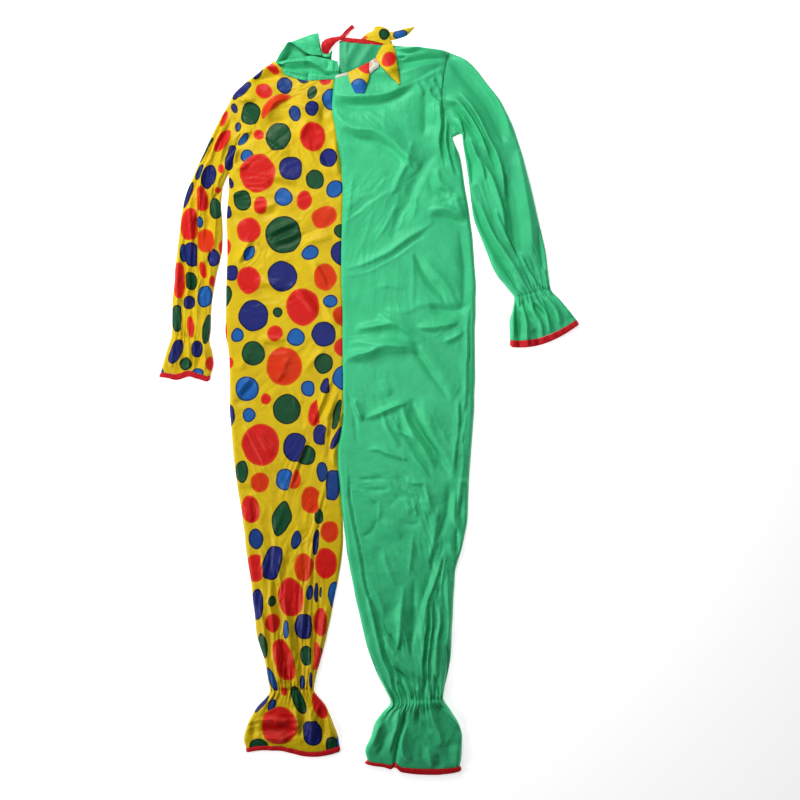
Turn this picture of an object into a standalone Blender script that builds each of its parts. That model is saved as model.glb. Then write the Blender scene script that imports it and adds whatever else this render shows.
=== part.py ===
"""Clown jumpsuit, laid flat on its back, one half dotted and one half plain green.

Each half is a front and a back cut in one from shoulder to ankle. Each sleeve is a flattened
tube. An elastic gathers every wrist and ankle, and a red binding closes the frill below it.
The neck has a gathered ruffle on the dotted half and a row of dotted points on the green half.

Tables and lengths are in millimetres: X towards the green half, Y towards the neck, Z up.
The back lies on Z = 0. "Outer" means the side-seam edge, "inner" the centre or inside-leg edge.
"""
from collections import namedtuple

import bpy
import numpy as np
from mathutils.bvhtree import BVHTree

MM = 0.001
WALL = 1.0               # thickness of one layer of cloth
SEAM_GAP = 0.3           # clearance between pieces that are sewn together
TOP_LAYER = WALL + SEAM_GAP   # underside of the front where it meets the back
ROLL = 14.0              # how far from its edge the front reaches its full height
COLUMNS = 12             # strips across a front; pleats take two strips each
BACK_COLUMNS = 4
EDGE_INSET = 1.2         # thickness of the fold at the edge of a flattened tube
BINDING_WALL = 1.4
TAPE_WIDTH = 9.0
TAPE_WALL = 1.2
SLIT_DEPTH = 330.0       # length of the slit at the middle of the back
SLIT_HALF_WIDTH = 9.0    # half of its width at the neck

GREEN = (0.05, 0.50, 0.20)
YELLOW = (0.80, 0.56, 0.02)
RED = (0.62, 0.01, 0.02)
PALE = (0.60, 0.62, 0.52)

# One row for each section across the garment, hem to neck. centre is a row of SEAM, or None
# where the section ends on the inside of the leg.
Section = namedtuple(
    "Section", "name outer_x outer_y centre inner_x inner_y bow sway crown inner_drop pleat"
)

SEAM = {
    "thigh low": (-57.5, -250.0),
    "thigh": (-63.0, -184.0),
    "thigh high": (-69.0, -119.0),
    "crotch": (-58.0, -55.0),
    "hip low": (-56.0, 0.0),
    "hip": (-56.0, 75.0),
    "hip high": (-57.0, 150.0),
    "waist": (-58.0, 222.0),
    "waist high": (-60.0, 300.0),
    "ribs": (-58.0, 380.0),
    "chest": (-57.0, 440.0),
    "yoke 1": (-59.0, 490.0),
    "yoke 2": (-61.0, 507.0),
    "yoke 3": (-64.0, 525.0),
    "yoke 4": (-67.5, 545.0),
    "yoke 5": (-70.5, 565.0),
    "yoke 6": (-73.0, 583.0),
    "yoke 7": (-76.0, 600.0),
    "yoke 8": (-78.5, 617.0),
    "yoke 9": (-79.0, 634.0),
    "yoke 10": (-79.0, 652.0),
    "yoke 11": (-77.5, 670.0),
    "neck": (-73.0, 692.0),
}

DOTTED = [
    Section("hem", -265, -750, None, -63, -745, -3, 8, 1.6, 1, 0),
    Section("flare low", -270, -732, None, -66, -727, -2, 6, 2.2, 1, 0),
    Section("flare", -263, -702, None, -75, -703, 0, 3, 2.6, 1, 0.6),
    Section("frill top", -243, -664, None, -93, -660, 0, 0, 3.0, 1, 1.5),
    Section("elastic", -213, -626, None, -118, -622, 0, 0, 3.0, 1, 2.2),
    Section("above elastic", -217, -603, None, -115, -601, 0, 0, 3.0, 1, 2.0),
    Section("calf low", -223, -568, None, -106, -568, 0, 0, 2.6, 1, 1.0),
    Section("calf", -241, -506, None, -90, -506, 0, 0, 2.2, 1, 0),
    Section("shin", -249, -442, None, -77, -442, 0, 0, 2.2, 1, 0),
    Section("knee low", -256, -377, None, -64, -377, 0, 0, 2.0, 1, 0),
    Section("knee", -266, -313, None, -56, -313, 0, 0, 2.0, 1, 0),
    Section("thigh low", -273, -248, "thigh low", 0, 0, 0, 0, 2.0, 1, 0),
    Section("thigh", -284, -184, "thigh", 0, 0, 0, 0, 2.0, 1, 0),
    Section("thigh high", -292, -119, "thigh high", 0, 0, 0, 0, 2.0, 0.6, 0),
    Section("crotch", -297, -55, "crotch", 0, 0, 0, 0, 2.0, 0.2, 0),
    Section("hip low", -300, 0, "hip low", 0, 0, 0, 0, 2.0, 0, 0),
    Section("hip", -300, 75, "hip", 0, 0, 0, 0, 2.0, 0, 0),
    Section("hip high", -309, 150, "hip high", 0, 0, 0, 0, 2.0, 0, 0),
    Section("waist", -308, 222, "waist", 0, 0, 0, 0, 2.0, 0, 0),
    Section("waist high", -306, 300, "waist high", 0, 0, 0, 0, 2.0, 0, 0),
    Section("ribs", -306, 380, "ribs", 0, 0, 0, 0, 2.0, 0, 0),
    Section("chest", -303, 440, "chest", 0, 0, 0, 0, 2.0, 0, 0),
    Section("armpit", -301, 487, "yoke 1", 0, 0, 0, 0, 2.0, 0, 0),
    Section("armhole 1", -296, 507, "yoke 2", 0, 0, 0, 0, 2.0, 0, 0),
    Section("armhole 2", -291, 528, "yoke 3", 0, 0, 0, 0, 2.0, 0, 0),
    Section("armhole 3", -283, 552, "yoke 4", 0, 0, 0, 0, 2.0, 0, 0),
    Section("armhole 4", -275, 577, "yoke 5", 0, 0, 0, 0, 2.0, 0, 0),
    Section("armhole 5", -276, 598, "yoke 6", 0, 0, 0, 0, 2.0, 0, 0),
    Section("armhole 6", -284, 620, "yoke 7", 0, 0, -1, 0, 2.0, 0, 0),
    Section("shoulder tip", -298, 642, "yoke 8", 0, 0, -2, 0, 2.0, 0, 0),
    Section("shoulder 1", -272, 674, "yoke 9", 0, 0, -4, 0, 1.8, 0, 0),
    Section("shoulder 2", -246, 696, "yoke 10", 0, 0, -9, 0, 1.6, 0, 0),
    Section("shoulder 3", -224, 714, "yoke 11", 0, 0, -16, 0, 1.6, 0, 0),
    Section("neck", -204, 729, "neck", 0, 0, -25, 0, 1.6, 0, 0),
]

GREEN_HALF = [
    Section("hem", 197, -788, None, -3, -776, -10, 0, 1.6, 1, 0),
    Section("flare low", 200, -760, None, -8, -756, -6, 0, 2.2, 1, 0),
    Section("flare", 201, -728, None, 3, -728, -3, 0, 2.6, 1, 0),
    Section("flare high", 194, -700, None, 11, -698, 0, 0, 2.6, 1, 0.6),
    Section("frill top", 176, -668, None, 28, -674, 0, 0, 3.0, 1, 1.5),
    Section("elastic", 160, -641, None, 46, -652, 0, 0, 3.0, 1, 2.2),
    Section("above elastic", 163, -620, None, 34, -624, 0, 0, 3.0, 1, 2.0),
    Section("calf low", 170, -590, None, 17, -590, 0, 0, 2.6, 1, 1.0),
    Section("calf", 177, -539, None, -2, -539, 0, 0, 2.2, 1, 0),
    Section("shin", 181, -442, None, -26, -442, 0, 0, 2.2, 1, 0),
    Section("knee low", 185, -377, None, -39, -377, 0, 0, 2.2, 1, 0),
    Section("knee", 202, -313, None, -49.5, -313, 0, 0, 2.2, 1, 0),
    Section("thigh low", 213, -248, "thigh low", 0, 0, 0, 0, 2.4, 0.8, 0),
    Section("thigh", 215, -184, "thigh", 0, 0, 0, 0, 2.4, 0.7, 0),
    Section("thigh high", 219, -119, "thigh high", 0, 0, 0, 0, 2.2, 0.5, 0),
    Section("crotch", 224, -55, "crotch", 0, 0, 0, 0, 2.2, 0.2, 0),
    Section("hip low", 227, 0, "hip low", 0, 0, 0, 0, 2.0, 0, 0),
    Section("hip", 228, 75, "hip", 0, 0, 0, 0, 2.0, 0, 0),
    Section("hip high", 228, 150, "hip high", 0, 0, 0, 0, 2.0, 0, 0),
    Section("waist", 230, 222, "waist", 0, 0, 0, 0, 2.0, 0, 0),
    Section("waist high", 226, 300, "waist high", 0, 0, 0, 0, 2.0, 0, 0),
    Section("ribs", 218, 385, "ribs", 0, 0, 0, 0, 2.0, 0, 0),
    Section("chest", 206, 461, "chest", 0, 0, 0, 0, 2.0, 0, 0),
    Section("under arm", 195, 526, "yoke 1", 0, 0, 0, 0, 2.0, 0, 0),
    Section("armpit", 180, 562, "yoke 2", 0, 0, 0, 0, 2.0, 0, 0),
    Section("armhole 1", 173, 585, "yoke 3", 0, 0, 0, 0, 2.0, 0, 0),
    Section("armhole 2", 167, 607, "yoke 4", 0, 0, 0, 0, 2.0, 0, 0),
    Section("armhole 3", 160, 632, "yoke 5", 0, 0, 0, 0, 2.0, 0, 0),
    Section("armhole 4", 157, 655, "yoke 6", 0, 0, -2, 0, 2.0, 0, 0),
    Section("armhole 5", 160, 682, "yoke 7", 0, 0, -4, 0, 2.0, 0, 0),
    Section("armhole 6", 166, 712, "yoke 8", 0, 0, -6, 0, 2.0, 0, 0),
    Section("shoulder tip", 172, 746, "yoke 9", 0, 0, -8, 0, 1.8, 0, 0),
    Section("shoulder 1", 138, 754, "yoke 10", 0, 0, -10, 0, 1.6, 0, 0),
    Section("shoulder 2", 100, 758, "yoke 11", 0, 0, -11, 0, 1.6, 0, 0),
    Section("neck", 59, 760, "neck", 0, 0, -12, 0, 1.6, 0, 0),
]

# The back reaches higher at the neck: the places of its upper sections at the slit, where
# they differ from SEAM, and the bow of its neckline.
BACK_NECK = {
    "dotted": {"yoke 9": 650.0, "yoke 10": 678.0, "yoke 11": 710.0, "neck": 744.0},
    "green": {"yoke 9": 656.0, "yoke 10": 690.0, "yoke 11": 727.0, "neck": 767.0},
}
BACK_NECK_BOW = {"dotted": -9.0, "green": 2.0}

# Sections of a sleeve from armhole to hem. edge is the outer edge, under the underarm edge.
Cuff = namedtuple("Cuff", "name edge_x edge_y under_x under_y bow crown pleat")

SLEEVE_DOTTED = [
    Cuff("armhole", -298, 642, -301, 487, 0, 2.0, 0),
    Cuff("upper arm", -327, 592, -309, 472, 0, 2.0, 0),
    Cuff("biceps", -351, 542, -317, 450, 0, 2.2, 0),
    Cuff("elbow high", -375, 488, -318, 420, 0, 2.2, 0),
    Cuff("elbow", -400, 418, -315, 380, 0, 2.2, 0),
    Cuff("forearm high", -411, 340, -317, 325, 0, 2.2, 0),
    Cuff("forearm", -418, 268, -330, 262, 0, 2.4, 0.4),
    Cuff("forearm low", -423, 203, -339, 198, 0, 2.6, 1.2),
    Cuff("above elastic", -424, 160, -341, 150, 0, 3.0, 1.8),
    Cuff("elastic", -425, 140, -344, 128, 0, 3.0, 2.0),
    Cuff("frill", -434, 108, -338, 104, 0, 2.6, 1.2),
    Cuff("frill low", -443, 80, -334, 78, -1, 2.2, 0.4),
    Cuff("hem", -449, 57, -341, 53, 3, 1.6, 0),
]

SLEEVE_GREEN = [
    Cuff("armhole", 172, 746, 180, 562, 0, 2.0, 0),
    Cuff("shoulder", 206, 733, 190, 568, 0, 2.0, 0),
    Cuff("upper arm", 250, 683, 199, 572, 0, 2.0, 0),
    Cuff("biceps", 290, 630, 206, 526, 0, 2.2, 0),
    Cuff("elbow high", 322, 553, 216, 461, 0, 2.2, 0),
    Cuff("elbow", 343, 479, 224, 397, 0, 2.2, 0),
    Cuff("forearm high", 362, 400, 247, 332, 0, 2.2, 0),
    Cuff("forearm", 379, 322, 275, 268, 0, 2.4, 0.8),
    Cuff("above elastic", 387, 262, 300, 235, 0, 3.0, 1.8),
    Cuff("elastic", 391, 238, 312, 219, 0, 3.0, 2.0),
    Cuff("frill", 411, 216, 309, 196, -2, 2.6, 1.2),
    Cuff("frill low", 432, 190, 302, 165, -6, 2.2, 0.4),
    Cuff("hem", 446, 172, 303, 127, -15, 1.6, 0),
]

# Ends of the lower edge of each binding, and how far its middle bows.
Hem = namedtuple("Hem", "name outer_x outer_y inner_x inner_y bow sway")
ANKLE_HEMS = {
    "dotted": Hem("dotted", -265, -760, -60, -757, -3, 8),
    "green": Hem("green", 204, -797, -11, -782, -15.3, -1.4),
}
CUFF_HEMS = {
    "dotted": Hem("dotted", -453, 47, -342, 42, 1, 0),
    "green": Hem("green", 453, 162.5, 302, 113, -18, 0),
}

# The largest folds of the fronts and sleeves: a ridge from start past middle to end.
Fold = namedtuple("Fold", "name x0 y0 x1 y1 x2 y2 half_width height")
FOLDS = [
    Fold("collar drape, green", -70, 655, 10, 630, 100, 700, 18, 3.0),
    Fold("chest drape, green", -75, 618, 20, 605, 105, 520, 22, 3.5),
    Fold("upright, green chest", 92, 650, 96, 580, 92, 500, 18, 3.0),
    Fold("armhole tuck, green", 146, 640, 136, 570, 150, 500, 12, 2.5),
    Fold("waist sweep, green", -45, 315, 40, 330, 130, 390, 18, 3.0),
    Fold("side tuck, green", 120, 415, 160, 420, 205, 400, 15, 3.0),
    Fold("hip arc, green", -30, 155, 50, 175, 112, 118, 16, 3.0),
    Fold("thigh arc, green", -45, 95, 60, 145, 172, 10, 18, 4.0),
    Fold("front of thigh, green", 82, 10, 90, -70, 165, -175, 22, 3.5),
    Fold("shin fold, green", 150, -180, 150, -330, 80, -470, 22, 3.0),
    Fold("calf fold, green", 128, -440, 140, -520, 128, -610, 14, 2.5),
    Fold("inner leg, green", 15, -440, 35, -530, 66, -620, 14, 2.5),
    Fold("chest tuck, dotted", -275, 475, -200, 490, -90, 480, 18, 2.0),
    Fold("side tuck, dotted", -262, 350, -235, 330, -180, 270, 16, 2.5),
    Fold("hip, dotted", -280, 60, -200, 30, -90, -20, 24, 2.5),
    Fold("thigh, dotted", -215, -120, -205, -250, -215, -380, 18, 3.0),
    Fold("shin, dotted", -150, -320, -140, -450, -150, -590, 18, 3.0),
    Fold("calf, dotted", -215, -400, -200, -500, -190, -600, 14, 2.5),
    Fold("sleeve, dotted", -330, 560, -370, 420, -375, 200, 14, 1.4),
    Fold("shoulder, green sleeve", 190, 700, 235, 660, 300, 560, 16, 1.4),
    Fold("sleeve, green", 235, 600, 285, 420, 345, 250, 16, 1.4),
]
FOLD_STEPS = 9

# The ruffle, from the slit at the back round to the centre front: where it is sewn, its
# belly, the hollow behind that and its free edge.
Ruffle = namedtuple(
    "Ruffle", "seam_x seam_y seam_z belly_x belly_y belly_z hollow_x hollow_y hollow_z edge_x edge_y edge_z"
)
RUFFLE = [
    Ruffle(-92, 741, 1.6, -97, 757, 6.0, -103, 770, 8.0, -110, 785, 3.0),
    Ruffle(-112, 740, 1.6, -117, 759, 8.0, -122, 770, 9.0, -130, 780, 4.0),
    Ruffle(-133, 739, 1.6, -139, 757, 9.0, -146, 765, 10.0, -151, 772, 5.0),
    Ruffle(-153, 737, 1.6, -160, 752, 9.0, -166, 758, 10.0, -171, 765, 6.0),
    Ruffle(-173, 733, 1.6, -178, 743, 8.0, -182, 746, 10.0, -186, 750, 8.0),
    Ruffle(-190, 731, 2.6, -193, 733, 8.0, -196, 735, 11.0, -198, 738, 12.0),
    Ruffle(-200, 722, 5.0, -202, 723, 9.0, -203, 724, 13.0, -204, 725, 17.0),
    Ruffle(-194, 712, 4.5, -192, 714, 10.0, -190, 717, 10.0, -188, 723, 17.0),
    Ruffle(-180, 703, 4.5, -178, 707, 9.0, -177, 714, 7.5, -175, 726, 18.0),
    Ruffle(-162, 695, 4.5, -161, 702, 9.0, -160, 712, 7.0, -158, 727, 18.0),
    Ruffle(-145, 690, 4.5, -144, 699, 9.0, -143, 711, 7.0, -141, 729, 18.0),
    Ruffle(-130, 688, 4.5, -129, 698, 9.0, -128, 711, 7.0, -126, 732, 19.0),
    Ruffle(-116, 690, 4.5, -114, 700, 10.0, -113, 710, 10.0, -111, 727, 20.0),
    Ruffle(-103, 692, 4.5, -101, 702, 8.0, -100, 712, 7.0, -99, 728, 17.0),
    Ruffle(-87, 693, 4.5, -86, 702, 8.0, -86, 712, 6.8, -85, 727, 13.0),
    Ruffle(-72, 695, 4.5, -71, 702, 7.0, -70, 712, 6.8, -69, 722, 10.0),
]

# Collar points: the two ends of the sewn edge, the two corners of the free end and the
# height of the belly between them.
Point = namedtuple("Point", "name a b tip_a tip_b belly")
POINTS = [
    Point("collar_point_1", (-46, 702, 4.6), (-1, 722, 8.0), (-31, 655, 6.2), (-10, 655, 6.2), 3.0),
    Point("collar_point_2", (18, 727, 4.6), (47, 771, 2.5), (66, 677, 8.5), (69, 678, 8.5), 6.0),
    Point("collar_point_3", (44.6, 772, 1.8), (40, 791, 3.0), (97, 801, 1.0), (99, 803, 1.0), 5.0),
    Point("collar_point_4", (-17, 776.4, 1.5), (44, 771.5, 1.8), (7, 799, 5.0), (37, 797, 5.0), 5.0),
    Point("collar_turnback", (0.6, 696, 6.5), (-0.4, 722, 8.0), (23, 712, 9.5), (16, 729, 10.5), 2.0),
    Point("collar_band", (-70, 686.5, 4.3), (-69.5, 693.2, 4.3), (-48, 690, 4.3), (-48, 698, 4.3), 0.4),
]
POINT_STEPS = 6
LYING_GAP = 0.6          # least height of a collar piece over the panel that it lies on
SKY = 100.0              # height from which panels are sounded

# Tapes: points along the middle of each, with its height.
TAPES = {
    "back_neck_binding": [(31, 767, 1.4), (0, 769.5, 1.4), (-30, 772, 1.4), (-52, 774.5, 1.4)],
    "tie_right": [(-62, 777, 2.5), (-57, 781, 2.5), (-47, 790, 4.0), (-36, 803.8, 1.0)],
    "tie_left": [(-93, 742.5, 3.0), (-99, 754, 6.0), (-96, 766, 9.0), (-84, 771.5, 7.0),
                 (-63, 772.5, 2.6)],
}


def clear_scene():
    """Remove whatever the scene holds."""
    for thing in list(bpy.data.objects):
        bpy.data.objects.remove(thing, do_unlink=True)


def cloth_material(name, colour):
    """Satin of one colour."""
    material = bpy.data.materials.new(name)
    material.use_nodes = True
    shader = material.node_tree.nodes["Principled BSDF"]
    shader.inputs["Base Color"].default_value = (*colour, 1.0)
    shader.inputs["Roughness"].default_value = 0.45
    shader.inputs["Metallic"].default_value = 0.0
    return material


def wall_faces(rows, columns):
    """Quads of an upper and a lower grid of points, joined round their rim."""
    index = np.arange(rows * columns).reshape(rows, columns)
    low = index + rows * columns
    quads = np.stack([index[:-1, :-1], index[:-1, 1:], index[1:, 1:], index[1:, :-1]], -1)
    under = np.stack([low[:-1, :-1], low[1:, :-1], low[1:, 1:], low[:-1, 1:]], -1)
    rim = np.concatenate([index[0, :], index[1:, -1], index[-1, -2::-1], index[-2:0:-1, 0]])
    after = np.roll(rim, -1)
    shift = rows * columns
    edge = np.stack([rim, rim + shift, after + shift, after], -1)
    return np.concatenate([quads.reshape(-1, 4), under.reshape(-1, 4), edge])


def ring_faces(rows, around):
    """Quads of an outer and an inner ring at each row, joined at both ends."""
    index = np.arange(rows * around).reshape(rows, around)
    after = np.roll(index, -1, axis=1)
    shift = rows * around
    outer = np.stack([index[:-1], after[:-1], after[1:], index[1:]], -1).reshape(-1, 4)
    inner = outer[:, ::-1] + shift
    first = np.stack([index[0] + shift, after[0] + shift, after[0], index[0]], -1)
    last = np.stack([index[-1], after[-1], after[-1] + shift, index[-1] + shift], -1)
    return np.concatenate([outer, inner, first, last])


def make_object(name, points, faces, material):
    """One closed piece from points in millimetres, its faces turned outwards."""
    mesh = bpy.data.meshes.new(name)
    mesh.from_pydata((points.reshape(-1, 3) * MM).tolist(), [], faces.tolist())
    mesh.materials.append(material)
    mesh.update()
    mesh.shade_smooth()
    mesh.set_sharp_from_angle(angle=np.radians(50))
    piece = bpy.data.objects.new(name, mesh)
    bpy.context.scene.collection.objects.link(piece)
    if signed_volume(points.reshape(-1, 3), faces) < 0:
        mesh.flip_normals()
    return piece


def sounding_tree(panel):
    """A search tree of a panel, in millimetres, to sound its height with."""
    places = [vertex.co / MM for vertex in panel.data.vertices]
    return BVHTree.FromPolygons(places, [tuple(face.vertices) for face in panel.data.polygons])


def signed_volume(points, faces):
    """Six times the volume that the faces close, negative where they face inwards."""
    a, b, c, d = (points[faces[:, k]] for k in range(4))
    return np.sum(a * np.cross(b, c)) + np.sum(a * np.cross(c, d))


def fold_height(x, y):
    """Height of the folds at each place: a bell across each ridge that fades at its ends."""
    height = np.zeros_like(x)
    along = np.linspace(0.0, 1.0, FOLD_STEPS)
    for fold in FOLDS:
        line_x = (1 - along) ** 2 * fold.x0 + 2 * along * (1 - along) * fold.x1 + along**2 * fold.x2
        line_y = (1 - along) ** 2 * fold.y0 + 2 * along * (1 - along) * fold.y1 + along**2 * fold.y2
        away = np.hypot(x[..., None] - line_x, y[..., None] - line_y)
        nearest = away.argmin(axis=-1)
        fade = np.sin(np.pi * (0.12 + 0.76 * along[nearest]))
        bell = np.exp(-((away.min(axis=-1) / fold.half_width) ** 2))
        height = np.maximum(height, fold.height * fade * bell)
    return height


def section_ends(sections, side, back):
    """Outer and inner end of each section, with its bow, sway, crown, drop and pleat."""
    step = SEAM_GAP / 2 * (-1 if side == "dotted" else 1)
    rows = []
    for row in sections:
        inner_x, inner_y, bow = row.inner_x, row.inner_y, row.bow
        if row.centre:
            inner_x, inner_y = SEAM[row.centre]
            inner_x += step
            if back:
                inner_y = BACK_NECK[side].get(row.centre, inner_y)
                depth = np.clip((inner_y - (BACK_NECK[side]["neck"] - SLIT_DEPTH)) / SLIT_DEPTH, 0, 1)
                inner_x += np.sign(step) * SLIT_HALF_WIDTH * depth
                bow = BACK_NECK_BOW[side] if row.name == "neck" else 0.0
        rows.append((row.outer_x, row.outer_y, inner_x, inner_y, bow, row.sway,
                     row.crown, row.inner_drop, row.pleat))
    return np.array(rows, float)


def across(ends, columns):
    """Plan of a panel: straight rows between their ends, bowed and swayed along Y."""
    u = np.linspace(0.0, 1.0, columns + 1)
    outer_x, outer_y, inner_x, inner_y, bow, sway = (ends[:, k, None] for k in range(6))
    x = outer_x + (inner_x - outer_x) * u
    y = outer_y + (inner_y - outer_y) * u + bow * 4 * u * (1 - u) + sway * np.sin(2 * np.pi * u)
    return x, y, u


def front_height(ends, x, y, u):
    """Underside of a front: a crown that rolls down to its edges, folds and pleats."""
    crown, drop, pleat = (ends[:, k, None] for k in (6, 7, 8))
    width = np.hypot(ends[:, 2] - ends[:, 0], ends[:, 3] - ends[:, 1])[:, None]
    roll_out = 1 - np.exp(-((u * width / ROLL) ** 2))
    roll_in = 1 - np.exp(-(((1 - u) * width / ROLL) ** 2))
    roll = roll_out * (1 - drop * (1 - roll_in))
    ripple = pleat * (0.5 - 0.5 * np.cos(np.pi * COLUMNS * u))
    return TOP_LAYER + roll * (crown + fold_height(x, y) + ripple)


def build_front(name, side, sections, material):
    """A front panel: its top and underside are one wall apart."""
    ends = section_ends(sections, side, back=False)
    x, y, u = across(ends, COLUMNS)
    low = front_height(ends, x, y, u)
    points = np.stack([np.stack([x, y, low + WALL], -1), np.stack([x, y, low], -1)])
    panel = make_object(name, points, wall_faces(*x.shape), material)
    return panel, np.stack([x[0], y[0], low[0]])


def build_back(name, side, sections, material):
    """A back panel, flat on the ground."""
    ends = section_ends(sections, side, back=True)
    x, y, u = across(ends, BACK_COLUMNS)
    flat = np.zeros_like(x)
    points = np.stack([np.stack([x, y, flat + WALL], -1), np.stack([x, y, flat], -1)])
    return make_object(name, points, wall_faces(*x.shape), material)


def tube_points(x, y, top, wall, low_columns):
    """Outer and inner rings of a flattened tube: over the top, back along the ground."""
    rows, columns = x.shape
    picks = np.linspace(columns - 1, 0, low_columns + 1).round().astype(int)
    across_low = np.stack([x[:, picks], y[:, picks], np.zeros((rows, len(picks)))], -1)
    outer = np.concatenate([np.stack([x, y, top], -1), across_low], axis=1)
    middle = np.stack([x, y], -1)
    chord = middle[:, -1] - middle[:, 0]
    inset = EDGE_INSET * chord / np.linalg.norm(chord, axis=1, keepdims=True)
    inner_plan = middle.copy()
    inner_plan[:, 0] += inset
    inner_plan[:, -1] -= inset
    upper = np.concatenate([inner_plan, (top - wall)[..., None]], -1)
    lower_plan = inner_plan[:, picks]
    lower = np.concatenate([lower_plan, np.full((rows, len(picks), 1), wall)], -1)
    inner = np.concatenate([upper, lower], axis=1)
    return np.stack([outer, inner])


def build_tube(name, x, y, top, wall, low_columns, material):
    """A flattened tube of cloth, open at both ends."""
    points = tube_points(x, y, top, wall, low_columns)
    make_object(name, points, ring_faces(*points.shape[1:3]), material)


def build_sleeve(name, side, sections, cuffs, material):
    """A sleeve: its first row follows the armhole, which eases out over the upper arm."""
    body = section_ends(sections, side, back=False)
    names = [row.name for row in sections]
    hole = body[names.index("armpit"):names.index("shoulder tip") + 1, :2][::-1]
    outwards = -1.0 if side == "dotted" else 1.0
    rows = np.array([row[1:] for row in cuffs], float)
    gaps = np.linalg.norm(np.diff(hole, axis=0), axis=1)
    u = np.concatenate([[0.0], np.cumsum(gaps)]) / gaps.sum()
    straight = rows[:, None, :2] + (rows[:, None, 2:4] - rows[:, None, :2]) * u[None, :, None]
    ease = np.clip(1 - np.arange(len(rows)) / 3.0, 0, 1)[:, None, None]
    plan = straight + ease * (hole - straight[0])[None]
    plan[0, :, 0] += outwards * SEAM_GAP
    x, y = plan[..., 0], plan[..., 1] + rows[:, 4, None] * 4 * u * (1 - u)
    width = np.hypot(rows[:, 2] - rows[:, 0], rows[:, 3] - rows[:, 1])[:, None]
    edge = np.minimum(u, 1 - u) * width / ROLL
    ripple = rows[:, 6, None] * (np.arange(len(u)) % 2)
    top = TOP_LAYER + WALL + (1 - np.exp(-(edge**2))) * (rows[:, 5, None] + fold_height(x, y) + ripple)
    build_tube(name, x, y, top, WALL, len(u) - 1, material)
    return x[-1], y[-1], top[-1]


def build_binding(name, hem_x, hem_y, hem_top, end, low_columns, material):
    """A binding: a short flattened tube between the hem and its own lower edge."""
    u = np.linspace(0.0, 1.0, len(hem_x))
    low_x = end.outer_x + (end.inner_x - end.outer_x) * u
    low_y = end.outer_y + (end.inner_y - end.outer_y) * u
    low_y = low_y + end.bow * 4 * u * (1 - u) + end.sway * np.sin(2 * np.pi * u)
    away = np.hypot(low_x - hem_x, low_y - hem_y)
    share = SEAM_GAP * 1.4 / away
    first_x = hem_x + (low_x - hem_x) * share
    first_y = hem_y + (low_y - hem_y) * share
    x = np.stack([first_x, low_x])
    y = np.stack([first_y, low_y])
    top = np.stack([hem_top, hem_top]) + 2 * (BINDING_WALL - WALL)
    build_tube(name, x, y, top, BINDING_WALL, low_columns, material)


def lift_off(surface, panels):
    """Raise the places of a surface that would lie on or in the panels below them."""
    for place in surface.reshape(-1, 3):
        start = (place[0], place[1], SKY)
        hits = [panel.ray_cast(start, (0.0, 0.0, -1.0))[0] for panel in panels]
        tops = [hit.z + LYING_GAP for hit in hits if hit is not None]
        place[2] = max([place[2]] + tops)
    return surface


def sheet_points(surface, wall):
    """A free surface and its copy one wall above, moved along the surface's own normals."""
    along = np.gradient(surface, axis=0)
    over = np.gradient(surface, axis=1)
    normal = np.cross(along, over)
    normal /= np.linalg.norm(normal, axis=-1, keepdims=True)
    if normal[..., 2].mean() < 0:
        normal = -normal
    return np.stack([surface + normal * wall, surface])


def build_ruffle(panels, material):
    """The gathered strip, one row for each entry of its table."""
    surface = lift_off(np.array(RUFFLE, float).reshape(len(RUFFLE), 4, 3), panels)
    points = sheet_points(surface, WALL)
    make_object("ruffle", points, wall_faces(*surface.shape[:2]), material)


def build_point(point, panels, material):
    """A collar point: a ruled sheet from the sewn edge to the free end, with a belly."""
    u = np.linspace(0.0, 1.0, POINT_STEPS)[None, :, None]
    v = np.linspace(0.0, 1.0, POINT_STEPS)[:, None, None]
    a, b, tip_a, tip_b = (np.array(corner, float) for corner in point[1:5])
    sewn = a + (b - a) * u
    free = tip_a + (tip_b - tip_a) * u
    surface = sewn + (free - sewn) * v
    surface[..., 2] += (point.belly * 16 * u * (1 - u) * v * (1 - v))[..., 0]
    surface = lift_off(surface, panels)
    points = sheet_points(surface, WALL)
    make_object(point.name, points, wall_faces(*surface.shape[:2]), material)


def build_tape(name, route, material):
    """A flat tape along its middle line."""
    middle = np.array(route, float)
    along = np.gradient(middle[:, :2], axis=0)
    along /= np.linalg.norm(along, axis=1, keepdims=True)
    side = np.stack([-along[:, 1], along[:, 0], np.zeros(len(middle))], -1) * TAPE_WIDTH / 2
    surface = np.stack([middle - side, middle + side], axis=1)
    lift = np.array([0.0, 0.0, TAPE_WALL])
    points = np.stack([surface + lift, surface])
    make_object(name, points, wall_faces(*surface.shape[:2]), material)


def build():
    clear_scene()
    green = cloth_material("green_satin", GREEN)
    dotted = cloth_material("dotted_satin", YELLOW)
    red = cloth_material("red_binding", RED)
    pale = cloth_material("dotted_reverse", PALE)
    halves = [
        ("dotted", DOTTED, SLEEVE_DOTTED, dotted),
        ("green", GREEN_HALF, SLEEVE_GREEN, green),
    ]
    panels = []
    for side, sections, cuffs, cloth in halves:
        panels.append(sounding_tree(build_back(f"back_{side}", side, sections, cloth)))
        front, (hem_x, hem_y, hem_low) = build_front(f"front_{side}", side, sections, cloth)
        panels.append(sounding_tree(front))
        build_binding(f"ankle_binding_{side}", hem_x, hem_y, hem_low + WALL,
                      ANKLE_HEMS[side], BACK_COLUMNS, red)
        cuff = build_sleeve(f"sleeve_{side}", side, sections, cuffs, cloth)
        build_binding(f"cuff_binding_{side}", *cuff, CUFF_HEMS[side], len(cuff[0]) - 1, red)
    build_ruffle(panels, green)
    for point in POINTS:
        cloth = pale if point.name in ("collar_turnback", "collar_band") else dotted
        build_point(point, panels, cloth)
    for name, route in TAPES.items():
        build_tape(name, route, red)


build()
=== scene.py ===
from collections import namedtuple

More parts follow.
